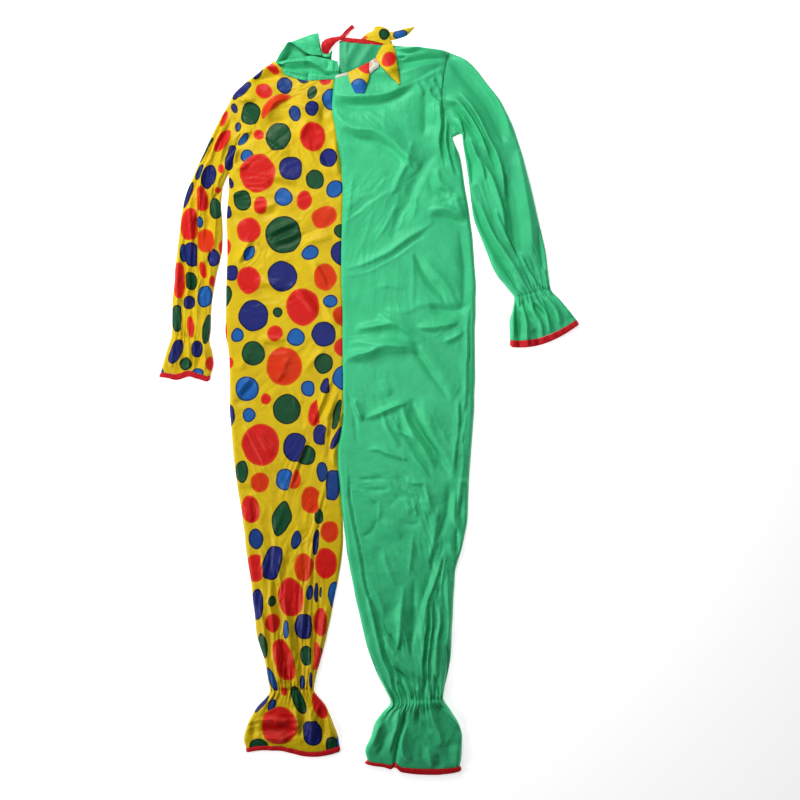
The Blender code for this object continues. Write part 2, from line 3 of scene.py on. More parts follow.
import bpy
import numpy as np
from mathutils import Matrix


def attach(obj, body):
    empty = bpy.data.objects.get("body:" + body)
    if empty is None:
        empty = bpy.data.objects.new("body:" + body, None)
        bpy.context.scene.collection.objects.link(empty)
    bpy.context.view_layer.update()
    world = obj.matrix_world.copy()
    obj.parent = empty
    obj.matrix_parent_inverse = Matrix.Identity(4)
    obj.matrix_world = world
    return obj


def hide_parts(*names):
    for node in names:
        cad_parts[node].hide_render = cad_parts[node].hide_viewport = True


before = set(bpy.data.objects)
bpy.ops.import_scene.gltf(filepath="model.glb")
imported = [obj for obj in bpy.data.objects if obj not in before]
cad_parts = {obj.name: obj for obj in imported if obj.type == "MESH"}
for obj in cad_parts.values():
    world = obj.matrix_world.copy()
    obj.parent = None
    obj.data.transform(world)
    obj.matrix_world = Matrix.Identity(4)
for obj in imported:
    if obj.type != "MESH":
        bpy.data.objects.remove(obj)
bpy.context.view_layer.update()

# ---- Table, daylight and camera -------------------------------------------------------------
# The jumpsuit lies on its back on a pale table. Soft daylight comes over the neck from the
# dotted side, and falls off towards the ankles. The camera looks straight down.

FRAME_WIDTH = 1.720      # metres of table across the picture
LENS, SENSOR = 50.0, 36.0
CLOTH_LEVEL = 0.005      # mean height of the cloth, in metres
CENTRE = (0.06665, -0.0011)

camera = bpy.data.objects.new("camera", bpy.data.cameras.new("camera"))
camera.data.lens = LENS
camera.data.sensor_width = SENSOR
camera.location = (*CENTRE, CLOTH_LEVEL + FRAME_WIDTH * LENS / SENSOR)
bpy.context.scene.collection.objects.link(camera)
bpy.context.scene.camera = camera
bpy.context.scene.view_settings.view_transform = "Standard"

LAMP_AIM = np.array([0.02, 0.15, 0.0])
Lamp = namedtuple("Lamp", "name x y z size watts")
LAMPS = [
    Lamp("window", -0.60, 1.52, 1.16, 0.70, 24.5),
    Lamp("side_window", -1.80, -0.50, 0.95, 0.70, 22.0),
    Lamp("ceiling", 0.14, 0.12, 0.95, 0.60, 3.0),
]
for lamp in LAMPS:
    light = bpy.data.lights.new(lamp.name, "AREA")
    light.size = lamp.size
    light.energy = lamp.watts
    holder = bpy.data.objects.new(lamp.name, light)
    holder.location = (lamp.x, lamp.y, lamp.z)
    aim = LAMP_AIM - np.array(holder.location)
    holder.rotation_euler = (
        np.arctan2(np.hypot(aim[0], aim[1]), -aim[2]),
        0.0,
        np.arctan2(aim[1], aim[0]) - np.pi / 2,
    )
    bpy.context.scene.collection.objects.link(holder)

sky = bpy.data.worlds.new("room")
sky.use_nodes = True
sky.node_tree.nodes["Background"].inputs["Color"].default_value = (1.0, 1.0, 1.0, 1.0)
sky.node_tree.nodes["Background"].inputs["Strength"].default_value = 0.004
bpy.context.scene.world = sky

TABLE_HALF = 20.0
TABLE_DROP = -0.0003     # just under the cloth, so that the two never share a plane
table_mesh = bpy.data.meshes.new("table_top")
table_mesh.from_pydata(
    [(-TABLE_HALF, -TABLE_HALF, TABLE_DROP), (TABLE_HALF, -TABLE_HALF, TABLE_DROP),
     (TABLE_HALF, TABLE_HALF, TABLE_DROP), (-TABLE_HALF, TABLE_HALF, TABLE_DROP)],
    [], [(0, 1, 2, 3)],
)
table = bpy.data.objects.new("table_top", table_mesh)
bpy.context.scene.collection.objects.link(table)
paint = bpy.data.materials.new("table_paint")
paint.use_nodes = True
paint_shader = paint.node_tree.nodes["Principled BSDF"]
paint_shader.inputs["Base Color"].default_value = (0.93, 0.93, 0.93, 1.0)
paint_shader.inputs["Roughness"].default_value = 0.9
paint_shader.inputs["Emission Color"].default_value = (1.0, 1.0, 1.0, 1.0)
paint_shader.inputs["Emission Strength"].default_value = 0.64
table_mesh.materials.append(paint)

WALL_HEIGHT = 3.0        # a pale wall far off, all round the table
bpy.ops.mesh.primitive_cylinder_add(
    vertices=96, radius=TABLE_HALF, depth=WALL_HEIGHT, end_fill_type="NOTHING",
    location=(0, 0, WALL_HEIGHT / 2),
)
wall = bpy.context.object
wall.name = "wall"
wall.data.materials.append(paint)

# ---- Front of the green half ----------------------------------------------------------------
# One length of plain green polyester satin, cut in one from shoulder to ankle and gathered by an
# elastic above the ankle frill. It lies on the back panel and keeps the creases of its packing.

MM = 0.001
SATIN_WALL = 0.8         # thickness of the satin as made here
CELL = 3.0               # cells of a front panel
UNDER = 1.1              # height of the underside of a front where it meets the back
EDGE_ROLL = 9.0          # how far from a folded edge the cloth reaches its full height

# The seam down the middle of the front, hem to neck, shared by the two halves.
CENTRE_SEAM = np.array([
    (-57.5, -250), (-63, -184), (-69, -119), (-58, -55), (-56, 0), (-56, 75), (-57, 150),
    (-58, 222), (-60, 300), (-58, 380), (-57, 440), (-60, 500), (-67.5, 545), (-73, 583),
    (-78.5, 617), (-79, 652), (-77.5, 670), (-73, 692),
], float)

# Rows of the front, hem to shoulder: the outer end and the inner end, how far the row bows and
# sways along Y between them, its crown, and the share of its height lost at either edge.
GREEN_FRONT = [
    (197, -788, -3, -776, -10, 0, 6, 1, 1), (200, -760, -8, -756, -6, 0, 9, 1, 1),
    (201, -728, 3, -728, -3, 0, 10, 1, 1), (194, -700, 11, -698, 0, 0, 10, 1, 1),
    (176, -668, 28, -674, 0, 0, 9, 1, 1), (160, -641, 46, -652, 0, 0, 8, 1, 1),
    (163, -620, 34, -624, 0, 0, 9, 1, 1), (170, -590, 17, -590, 0, 0, 9, 1, 1),
    (177, -539, -2, -539, 0, 0, 8, 1, 1), (181, -442, -26, -442, 0, 0, 8, 1, 1),
    (185, -377, -39, -377, 0, 0, 8, 1, 1), (202, -313, -49.5, -313, 0, 0, 8, 1, 1),
    (213, -248, -57.5, -250, 0, 0, 9, 1, 1), (215, -184, -63, -184, 0, 0, 9, 1, 0.9),
    (219, -119, -69, -119, 0, 0, 9, 1, 0.8), (224, -55, -58, -55, 0, 0, 8, 1, 0.7),
    (227, 0, -56, 0, 0, 0, 8, 1, 0.5), (228, 75, -56, 75, 0, 0, 8, 1, 0.4),
    (228, 150, -57, 150, 0, 0, 8, 1, 0.4), (230, 222, -58, 222, 0, 0, 8, 1, 0.4),
    (226, 300, -60, 300, 0, 0, 8, 1, 0.4), (218, 385, -58, 380, 0, 0, 8, 1, 0.4),
    (206, 461, -57, 440, 0, 0, 8, 1, 0.4), (195, 526, -60, 490, 0, 0, 8, 1, 0.4),
    (180, 562, -61, 507, 0, 0, 8, 0.6, 0.4), (173, 585, -64, 525, 0, 0, 8, 0.3, 0.4),
    (167, 607, -67.5, 545, 0, 0, 8, 0.3, 0.4), (160, 632, -70.5, 565, 0, 0, 8, 0.3, 0.4),
    (157, 655, -73, 583, -2, 0, 8, 0.3, 0.4), (160, 682, -76, 600, -4, 0, 8, 0.3, 0.4),
    (166, 712, -78.5, 617, -6, 0, 9, 0.3, 0.4), (172, 746, -79, 634, -8, 0, 10, 0.9, 0.4),
    (138, 754, -79, 652, -10, 0, 10, 1, 0.4), (100, 758, -77.5, 670, -11, 0, 9, 1, 0.5),
    (59, 760, -73, 692, -12, 0, 7, 1, 0.6),
]
GREEN_ARMPIT, GREEN_SHOULDER = 24, 31    # the rows of the table where the sleeve begins and ends

# Creases, a row for each: its height, below nil for a trough, the widths of the slopes that face
# the window and turn away from it, and then the points of its line.
GREEN_CREASES = [
    # neck drapes, one under the other
    (6, 14, 7, (-78, 653), (-20, 648), (30, 650), (80, 674), (124, 694), (163, 712)),
    (-6.5, 10, 12, (-76, 640), (-30, 633), (20, 634), (66, 654), (96, 668)),
    (9.5, 22, 8, (-78, 622), (-52, 590), (-26, 577), (6, 574), (34, 562), (60, 544), (84, 522), (112, 496)),
    (-5, 8, 11, (-60, 578), (-28, 562), (4, 560), (34, 545), (60, 524), (84, 504)),
    (4, 20, 10, (-20, 705), (30, 700), (70, 715)), (8.5, 9, 34, (58, 751), (112, 748), (170, 742)),
    (-7.5, 9, 12, (58, 722), (92, 725), (120, 727), (148, 730), (170, 732)),
    (3.4, 8, 8, (66, 700), (96, 708), (124, 716), (150, 722), (166, 726)),
    (-4, 8, 10, (60, 668), (84, 678), (112, 692), (140, 708), (160, 720)),
    (3.4, 3, 2.4, (59, 753), (74, 749), (90, 748), (106, 751), (122, 746)),
    (-3.4, 3, 4.5, (59, 749), (73, 743), (88, 743), (104, 746), (121, 740)),
    (-2.4, 3, 4, (58, 733), (68, 732), (80, 736)),
    # crumples beside the armhole
    (2.6, 6, 3.5, (100, 680), (108, 668), (118, 652)), (2.6, 6, 3.5, (113, 686), (124, 674), (142, 668)),
    (2.6, 5, 3.5, (124, 668), (138, 652), (152, 630)), (2.4, 5, 3, (134, 690), (147, 672), (156, 650)),
    (2.6, 5, 3, (146, 704), (158, 688), (156, 662)),
    (-3.6, 12, 14, (116, 664), (122, 630), (123, 595), (118, 566)),
    (1.8, 9, 6, (137, 640), (140, 615), (138, 590)),
    (5.5, 9, 4, (156, 652), (152, 622), (155, 586), (153, 556), (157, 520)),
    (-6, 4, 5, (160, 630), (160, 592), (158, 560), (161, 530), (166, 500)),
    (4.5, 6, 4, (163, 606), (165, 574), (168, 540), (175, 510), (184, 484)),
    (-4, 4, 5, (170, 600), (172, 570), (176, 536), (184, 504), (192, 478)),
    (3, 5, 4, (180, 566), (183, 540), (184, 512), (194, 486)),
    (-3, 4, 4, (160, 668), (150, 676), (140, 690)), (-3, 4, 4, (156, 646), (142, 652), (132, 668)),
    (-4.5, 17, 17, (146, 534), (118, 500), (94, 450), (72, 400), (48, 342)),
    (2.5, 9, 7, (96, 560), (84, 520), (70, 486), (48, 440)), (2.2, 6, 4, (58, 540), (82, 514), (92, 494)),
    # waist and side
    (5.2, 11, 7, (126, 404), (160, 409), (186, 400), (208, 388)),
    (-3.4, 5, 8, (132, 397), (162, 392), (206, 378)),
    (2.6, 12, 7, (148, 498), (150, 474), (162, 456), (184, 448)),
    (-2.2, 9, 9, (132, 486), (134, 458), (150, 446), (184, 442)),
    (2.6, 9, 9, (186, 440), (192, 416), (206, 395)),
    (3.4, 13, 4, (-56, 276), (-10, 290), (36, 310), (76, 338), (110, 362), (140, 384)),
    (-2, 4, 5, (-36, 266), (8, 281), (50, 304), (92, 334), (126, 362)),
    (2.1, 10, 4, (-56, 262), (-30, 266), (10, 278), (46, 298), (84, 322), (112, 346)),
    (2, 12, 5, (-55, 405), (-30, 423), (-10, 438), (8, 437)),
    (1.2, 8, 6, (-55, 380), (-10, 405), (20, 432), (70, 455)),
    (1, 6, 6, (-25, 310), (-8, 345), (2, 380), (8, 410)),
    (1, 6, 6, (10, 330), (30, 365), (50, 400), (66, 440)), (1.2, 6, 5, (62, 360), (72, 388), (78, 415)),
    (1.4, 6, 5, (92, 384), (98, 410), (100, 440)),
    (1.2, 7, 7, (-60, 330), (-48, 380), (-40, 440), (-30, 490)), (1, 5, 5, (95, 330), (94, 260), (95, 195)),
    (-5, 6, 9, (96, 316), (110, 286), (128, 258), (150, 232), (166, 206)),
    (3, 12, 9, (116, 306), (140, 274), (166, 242), (178, 222)),
    (-4.4, 5, 6, (132, 206), (156, 190), (186, 190), (214, 204)),
    (-3.6, 10, 12, (194, 370), (203, 310), (206, 240), (198, 180)),
    (1.5, 12, 5, (10, 236), (40, 243), (80, 236)),
    (-1.7, 7, 9, (128, 194), (165, 196), (198, 198), (218, 206)),
    (1.8, 14, 8, (20, 198), (70, 186), (120, 204), (170, 210)),
    # hip arcs
    (5.5, 12, 5, (100, 156), (135, 155), (165, 158), (192, 166)),
    (3.3, 8, 6, (160, 122), (182, 132), (204, 146)),
    (8.2, 13, 8, (-30, 149), (10, 154), (50, 161), (85, 145), (108, 118)),
    (2.2, 8, 6, (20, 182), (45, 168), (60, 156)),
    (8.7, 17, 7, (-54, 86), (0, 100), (40, 116), (80, 112), (106, 98)),
    (-5.6, 12, 7, (84, 148), (96, 128), (107, 102), (124, 76), (140, 50), (158, 22), (173, -2)),
    (3.6, 8, 34, (98, 152), (111, 126), (124, 98), (140, 72), (156, 46), (172, 20), (184, 0)),
    (3.3, 12, 8, (-45, 122), (0, 120), (50, 112), (86, 110)), (2.2, 9, 6, (-48, 98), (-10, 97), (24, 108)),
    # front of the thigh
    (7.1, 6, 9, (-36, 0), (-24, -22), (-10, -44)),
    (5.6, 9, 4.5, (-8, -42), (14, -32), (37, -21), (50, -16), (84, -6)),
    (-9, 15, 7, (94, 4), (100, -42), (121, -80), (149, -124), (178, -172)),
    (5.6, 9, 32, (114, 8), (122, -46), (143, -88), (166, -130), (186, -170)),
    (6.2, 9, 6, (72, -6), (82, -44), (100, -80), (124, -118), (142, -150)),
    (-3.8, 5, 6, (60, -50), (80, -80), (102, -112), (126, -148), (133, -168)),
    (4, 6, 2.6, (44, -32), (60, -57), (68, -71), (92, -84), (105, -99)),
    (3.6, 6, 8, (26, -30), (42, -66), (64, -104)),
    (3.6, 8, 2, (-4, -110), (17, -108), (37, -115), (60, -123), (84, -131)),
    (2.8, 5, 2, (88, -117), (104, -134), (120, -153), (133, -167)),
    (-2.3, 6, 6, (-52, 30), (-30, -40), (-24, -100)), (1.8, 9, 10, (24, 44), (36, 20), (44, 8)),
    # side seam, puckered down the outside of the leg
    (3.2, 5, 3, (213, 200), (212, 130), (209, 60), (206, 0), (198, -50)),
    (-2, 3, 3, (216, 190), (214, 110), (211, 50)),
    (3.6, 5, 3, (190, 10), (192, -25), (194, -60), (186, -110), (180, -165)),
    (-3.2, 3.5, 4, (200, 4), (198, -40), (192, -90), (184, -150)),
    (3, 5, 4, (209, -30), (202, -80), (200, -140), (194, -200), (188, -262)),
    (-2, 3, 3, (206, -60), (200, -120), (198, -165)), (2.6, 5, 4, (196, -172), (206, -176), (214, -182)),
    (-2.6, 5, 5, (198, -205), (196, -245), (204, -276)), (3, 6, 4, (182, -196), (182, -250), (198, -286)),
    (-3.2, 4, 4, (188, -272), (188, -310), (187, -345)), (2.5, 4, 5, (195, -290), (199, -315), (192, -345)),
    # small crumples across the thigh
    (-2.1, 5, 3, (-22, -172), (5, -172), (38, -172)), (-1.7, 5, 3, (0, -194), (22, -195), (45, -193)),
    (2, 4, 1.8, (-18, -192), (0, -208), (16, -221)), (1.2, 3, 4, (23, -214), (24, -238), (21, -262)),
    (-1.3, 8, 8, (44, -232), (60, -214), (78, -210)), (2.2, 3, 2, (94, -214), (98, -232), (104, -250)),
    (1.6, 3, 2, (112, -222), (120, -240), (126, -262)), (1.5, 4, 4, (94, -288), (90, -330), (84, -380)),
    (2.6, 6, 3, (82, -164), (94, -178), (122, -180)),
    (2.9, 6, 4, (120, -178), (127, -205), (134, -234), (146, -258)),
    (2.3, 6, 4, (106, -214), (120, -222), (132, -246)), (2.2, 6, 6, (60, -210), (80, -222), (96, -240)),
    (-1.4, 6, 7, (-14, -298), (8, -282), (20, -256)), (-1.4, 6, 8, (66, -256), (88, -268), (112, -262)),
    (1.9, 8, 6, (30, -260), (50, -275), (70, -300)),
    # knee and shin
    (-3, 8, 9, (172, -180), (168, -230), (156, -276), (140, -306)),
    (2.8, 8, 7.2, (148, -226), (140, -290), (128, -350)),
    (-1.9, 7.2, 7.2, (144, -310), (135, -360), (120, -420), (104, -490)),
    (2.9, 6.4, 5, (162, -320), (148, -366), (131, -420), (118, -470), (112, -520)),
    (-2.6, 2, 3, (164, -318), (156, -352), (152, -386), (149, -432)),
    (2.3, 5.6, 5.6, (162, -322), (158, -362), (150, -412)),
    (2.1, 4.8, 4.8, (168, -310), (180, -332), (184, -350)),
    (-2.8, 9.6, 9.6, (96, -384), (97, -440), (98, -500)),
    (2.8, 8, 8, (72, -400), (70, -460), (82, -520), (88, -560)),
    (2.9, 7.2, 5.6, (166, -350), (170, -410), (172, -470), (166, -560)),
    (-2.1, 4.8, 4.8, (158, -400), (166, -440), (176, -480)),
    (1.7, 7.2, 7.2, (30, -320), (40, -360), (58, -400)), (1.6, 8, 8, (-2, -380), (20, -420), (34, -470)),
    (1.4, 6.4, 6.4, (54, -330), (78, -350), (100, -380)),
    # calf, drawn in by the elastic
    (3.4, 9, 2.2, (126, -420), (125, -484), (118, -520), (116, -560), (115, -604), (112, -634)),
    (-3, 2, 2.2, (131, -430), (130, -484), (123, -522), (121, -560), (120, -604), (117, -636)),
    (3.2, 2.4, 2.4, (137, -430), (136, -484), (130, -520), (127, -560), (126, -604), (124, -636)),
    (-2.4, 2, 3, (143, -432), (141, -474), (136, -510), (133, -546)),
    (4.4, 5, 3.6, (154, -440), (152, -480), (146, -520), (144, -570), (150, -620)),
    (-3, 7.9, 7.9, (100, -446), (98, -490), (90, -528), (92, -556)),
    (4, 8.6, 7.2, (66, -440), (68, -480), (64, -520), (52, -548)),
    (-4.4, 4.3, 5, (168, -520), (170, -560), (166, -600), (158, -634)),
    (-4, 3.6, 3.6, (142, -590), (148, -612), (152, -640)),
    (7.7, 14, 5, (34, -506), (46, -534), (68, -562), (94, -585), (120, -602)),
    (-4.9, 4.3, 5.8, (50, -572), (70, -590), (92, -606), (104, -622)),
    (-3, 5.8, 5.8, (44, -500), (56, -528), (74, -548)),
    (3.8, 7, 2.4, (-1, -422), (8, -466), (18, -510), (29, -556), (46, -594), (50, -630)),
    (-3.2, 2, 2.6, (5, -426), (14, -466), (24, -509), (35, -556), (53, -594), (56, -628)),
    (-2.6, 3.6, 4.3, (-30, -440), (-16, -490), (2, -544), (22, -596), (38, -636)),
    (3.4, 5, 4.3, (-36, -430), (-24, -480), (-6, -536), (12, -586), (30, -624)),
    (4, 4.3, 2.9, (72, -600), (84, -620), (92, -640)), (-3, 2.9, 2.9, (60, -604), (74, -624), (82, -642)),
    # ankle frill
    (3.4, 4, 36, (46, -650), (76, -648), (120, -647), (154, -649)),
    (-7, 2.6, 5, (84, -660), (72, -694), (64, -724), (58, -760), (54, -794)),
    (3.4, 9, 5, (66, -664), (60, -696), (50, -730), (42, -760)),
    (4.8, 8, 9, (92, -776), (74, -754), (70, -726), (80, -694)),
    (-2.6, 10, 12, (46, -708), (34, -730), (24, -752), (14, -768)),
    (3.1, 8, 8, (26, -690), (16, -716), (6, -742)), (-2.4, 5, 5, (48, -656), (34, -680), (22, -700)),
    (-3, 8, 12, (104, -660), (106, -684), (120, -700), (132, -716)),
    (-2.6, 7, 10, (148, -656), (166, -680), (184, -700), (194, -722)),
    (2.2, 10, 10, (128, -664), (142, -688), (150, -716), (154, -746)),
    (3.1, 7, 6, (160, -664), (178, -684), (196, -710)),
    (-1.6, 10, 12, (176, -730), (170, -754), (176, -782)),
    (2, 12, 8, (188, -742), (188, -766), (192, -790)),
    (-1.6, 10, 12, (100, -722), (112, -746), (116, -770)),
    (2.7, 8, 8, (122, -744), (132, -766), (136, -790)), (-1.4, 9, 9, (146, -760), (150, -778), (156, -792)),
]

# Bundles of small creases, a row for each: x, y, reach along the heading, breadth across it, the
# heading in degrees, the length of a crease, the distance to the next, and the height.
GREEN_CRUSHES = [
    (-14, 430, 80, 42, 40, 70, 6, 1.1), (70, 440, 110, 42, 60, 80, 6, 1.4),
    (30, 600, 70, 40, -30, 60, 8, 0.8), (164, 520, 70, 22, 84, 34, 6, 1.4),
    (172, 430, 40, 34, 20, 26, 7, 2.2), (-20, 260, 90, 44, 82, 70, 6, 1.2),
    (60, 230, 110, 50, 88, 80, 7, 1), (160, 240, 70, 44, -55, 50, 8, 1.4), (0, 130, 60, 30, 4, 44, 6, 1.6),
    (150, 145, 50, 26, 8, 40, 6, 1.6), (20, 20, 60, 50, -72, 44, 6, 1.4), (74, -70, 70, 60, -52, 50, 7, 3),
    (140, -110, 80, 40, -64, 60, 7, 2.6), (200, -60, 140, 18, -86, 40, 5, 2.2),
    (2, -182, 50, 26, 6, 34, 6, 1.5), (64, -196, 50, 40, -42, 34, 6, 2),
    (110, -220, 60, 40, -60, 36, 6, 2.8), (150, -330, 110, 40, -74, 60, 7, 2.4),
    (60, -330, 90, 60, -52, 60, 8, 1.4), (140, -520, 130, 36, -84, 80, 7, 1.9),
    (70, -540, 110, 40, -66, 80, 8, 2.2), (20, -500, 90, 30, -64, 60, 7, 1.6),
    (40, -735, 50, 50, -70, 40, 12, 1.8), (140, -730, 60, 60, -60, 50, 12, 1.8),
]

# The seam of the inside leg has slipped round to the front of the leg.
GREEN_INSEAM = [(-45, -125), (-40, -200), (-31, -260), (-18, -330), (-4, -400), (12, -460), (22, -505)]
GREEN_GROOVE = (-3.4, 1.5, 1.5, *GREEN_INSEAM)
GREEN_RIDGE = (1.5, 7, 2, *((x - 4, y) for x, y in GREEN_INSEAM))

# The ankle elastic, and pleats that it draws up: how many, how tall, and their reach above and below.
Elastic = namedtuple("Elastic", "row pleats height above below seed")
GREEN_ANKLE = Elastic(5, 22, 9.0, 46, 40, 11)

LIGHT_SIDE = np.array([-0.55, 0.83])     # plan direction of the window


def ease_rows(table, length, step):
    """Rows every step along a table: a cubic through each column, by distance along the piece.

    The slope at a row is the harmonic mean of those on either side, and nil where they differ in
    sign, so that no edge runs past its rows. Returns the rows and the distance of each.
    """
    table = np.asarray(table, float)
    gaps = np.maximum(length, 0.01)
    place = np.concatenate([[0.0], np.cumsum(gaps)])
    rise = np.diff(table, axis=0) / gaps[:, None]
    both = rise[:-1] * rise[1:]
    middle = np.where(both > 0, 2 * both / np.where(both > 0, rise[:-1] + rise[1:], 1.0), 0.0)
    slope = np.concatenate([rise[:1], middle, rise[-1:]])
    along = np.linspace(0.0, place[-1], int(np.ceil(place[-1] / step)) + 1)
    k = np.clip(np.searchsorted(place, along, side="right") - 1, 0, len(gaps) - 1)
    t = ((along - place[k]) / gaps[k])[:, None]
    g = gaps[k][:, None]
    rows = (
        table[k] * (1 + 2 * t) * (1 - t) ** 2 + table[k + 1] * t**2 * (3 - 2 * t)
        + slope[k] * g * t * (1 - t) ** 2 - slope[k + 1] * g * t**2 * (1 - t)
    )
    return rows, along, place


def mean_gaps(rows):
    """Distance from each row of a table to the next: the mean of those at its two ends."""
    rows = np.asarray(rows, float)
    outer = np.hypot(*np.diff(rows[:, 0:2], axis=0).T)
    inner = np.hypot(*np.diff(rows[:, 2:4], axis=0).T)
    return (outer + inner) / 2


LATTICE = 96             # random numbers along each side before they come round again


def rumple(x, y, size, seed):
    """Smooth random height from -1 to 1: a lattice of random numbers, size apart, eased between."""
    lattice = np.random.default_rng(seed).uniform(-1.0, 1.0, (LATTICE + 1, LATTICE + 1))
    across, up = x / size + 1000.3, y / size + 1000.7
    i, j = np.floor(across).astype(int), np.floor(up).astype(int)
    s, t = across - i, up - j
    s, t = s * s * (3 - 2 * s), t * t * (3 - 2 * t)
    i, j = i % LATTICE, j % LATTICE
    low = lattice[i, j] * (1 - s) + lattice[i + 1, j] * s
    high = lattice[i, j + 1] * (1 - s) + lattice[i + 1, j + 1] * s
    return low * (1 - t) + high * t


def crumple(x, y, size, seed):
    """Facets with soft edges, as in crushed cloth: one less the size of a random height, squared."""
    return (1 - np.abs(rumple(x, y, size, seed))) ** 2 - 0.4


ROUTE_STEP = 6.0


def smooth_route(points):
    """Points a few millimetres apart on a smooth curve through the given ones."""
    points = np.asarray(points, float)
    return ease_rows(points, np.hypot(*np.diff(points, axis=0).T), ROUTE_STEP)[0]


CREASE_GAIN = 2.35
CREASE_POWER = 0.85      # high creases are laid lower than their figure, in this power
CREST = 0.35             # how round the crest of a crease is, as a share of its width
CREASE_REACH = 2.8       # how many of its widths a crease is felt for


def crease_height(x, y, creases):
    """Sum of the creases: height times a bell of the distance to the line, tapered at its ends.

    The bell falls away by the power of the distance, and only its crest is rounded. It is as wide
    as the slope towards the window on that side of the line, and as the other slope on the far
    side, and both narrow a little as the crease dies away.
    """
    total = np.zeros_like(x)
    for height, lit, shaded, *route in creases:
        line = smooth_route(route)
        reach = CREASE_REACH * max(lit, shaded)
        near = (
            (x > line[:, 0].min() - reach) & (x < line[:, 0].max() + reach)
            & (y > line[:, 1].min() - reach) & (y < line[:, 1].max() + reach)
        )
        px, py = x[near][:, None], y[near][:, None]
        start, step = line[:-1], np.diff(line, axis=0)
        t = ((px - start[:, 0]) * step[:, 0] + (py - start[:, 1]) * step[:, 1]) / (step**2).sum(1)
        t = np.clip(t, 0, 1)
        dx = px - start[:, 0] - t * step[:, 0]
        dy = py - start[:, 1] - t * step[:, 1]
        away = np.hypot(dx, dy)
        k = away.argmin(axis=1)
        pick = (np.arange(len(k)), k)
        gap = away[pick]
        along = (k + t[pick]) / len(start)
        facing = (dx[pick] * LIGHT_SIDE[0] + dy[pick] * LIGHT_SIDE[1]) / np.maximum(gap, 0.1)
        facing = np.clip(0.5 + 1.2 * facing, 0, 1)
        taper = 1 - np.abs(2 * along - 1) ** 3
        width = (shaded + (lit - shaded) * facing) * (0.6 + 0.4 * taper)
        keen = np.sqrt(CREST**2 + (gap / width) ** 2) - CREST
        tall = np.sign(height) * abs(height) ** CREASE_POWER
        total[near] += tall * taper * np.exp(-1.5 * keen)
    return CREASE_GAIN * total


def crush_height(x, y, crushes, seed):
    """Bundles of small creases, each within a bell turned to its heading.

    A random height drawn out along the heading is folded at nil, so that it stands in long
    uneven ridges, and its heading wanders a little.
    """
    total = np.zeros_like(x)
    for number, (middle_x, middle_y, reach, breadth, heading, long, short, height) in enumerate(crushes):
        turn = np.radians(heading)
        along = (x - middle_x) * np.cos(turn) + (y - middle_y) * np.sin(turn)
        across = (y - middle_y) * np.cos(turn) - (x - middle_x) * np.sin(turn)
        bell = np.exp(-(((along / reach) ** 2 + (across / breadth) ** 2) ** 1.5))
        bent = across + 1.2 * short * rumple(x, y, 5 * short, seed + number)
        wave = rumple(along * short / long, bent, short, seed + 50 + number)
        total += 1.25 * height * bell * ((1 - np.abs(wave)) ** 1.6 - 0.35)
    return total


def pleat_height(u, away, elastic):
    """Pleats drawn up by an elastic: bells across the piece, uneven in place, width and height.

    Each dies away over its own reach on either side of the elastic, and leans a little.
    """
    rng = np.random.default_rng(elastic.seed)
    count = elastic.pleats
    middle = (np.arange(count) + 0.5 + rng.uniform(-0.35, 0.35, count)) / count
    width = rng.uniform(0.26, 0.5, count) / count
    tall = rng.uniform(0.45, 1.0, count) * elastic.height
    above = rng.uniform(0.35, 1.5, count) * elastic.above
    below = rng.uniform(0.35, 1.5, count) * elastic.below
    lean = rng.uniform(-0.4, 0.4, count) / count
    total = np.zeros_like(u)
    for k in range(count):
        reach = np.where(away > 0, above[k], below[k])
        spread = 1 + 0.8 * np.minimum(np.abs(away) / reach, 2)
        bell = np.exp(-(((u - middle[k] - lean[k] * away / reach) / (width[k] * spread)) ** 2))
        total += tall[k] * bell * np.exp(-((np.abs(away) / reach) ** 1.4))
    return total - 2.0 * np.exp(-((away / 3.2) ** 2))


def edge_rise(distance, roll):
    """A quarter of an ellipse: nil at a folded edge, one where the cloth is at full height."""
    return np.sqrt(np.clip(1 - (1 - np.clip(distance / roll, 0, 1)) ** 2, 0, 1))


FLOOR_EASE = 8.0         # how softly cloth comes down to what is under it, in square millimetres


def soft_floor(height):
    """Cloth stays off what is under it: the larger of height and nil, with the corner eased."""
    return 0.5 * (height + np.sqrt(height**2 + FLOOR_EASE))


def spread_rows(rows, columns):
    """Plan of a panel: straight rows between their two ends, bowed and swayed along Y."""
    u = np.linspace(0.0, 1.0, columns + 1)[None, :]
    outer_x, outer_y, inner_x, inner_y, bow, sway = (rows[:, k, None] for k in range(6))
    x = outer_x + (inner_x - outer_x) * u
    y = outer_y + (inner_y - outer_y) * u + bow * 4 * u * (1 - u) + sway * np.sin(2 * np.pi * u)
    return x, y, np.broadcast_to(u, x.shape)


# Where an edge is drawn aside: x and y, how far it moves each way, and its reach each way.
TUCKS = [
    (57, -796, 0, 8, 7, 30), (30, -800, 0, 3, 16, 26), (206, -796, -3, 2, 12, 12),
    (-416, 48, 0, -4, 13, 22), (-386, 50, 0, 5, 12, 22), (-350, 44, 0, -4, 10, 20),
]


WANDER, WANDER_SIZE = 0.9, 34


def settle(x, y):
    """The small wander of every edge and seam of laid cloth, and the tucks drawn into it.

    It is the same for pieces that meet. A tuck is a bell in each direction.
    """
    x, y = x + WANDER * rumple(x, y, WANDER_SIZE, 5), y + WANDER * rumple(x, y, WANDER_SIZE, 6)
    for tuck_x, tuck_y, shift_x, shift_y, reach_x, reach_y in TUCKS:
        share = np.exp(-(((x - tuck_x) / reach_x) ** 2) - ((y - tuck_y) / reach_y) ** 2)
        x, y = x + shift_x * share, y + shift_y * share
    return x, y


SEAM_STEP = 2.0


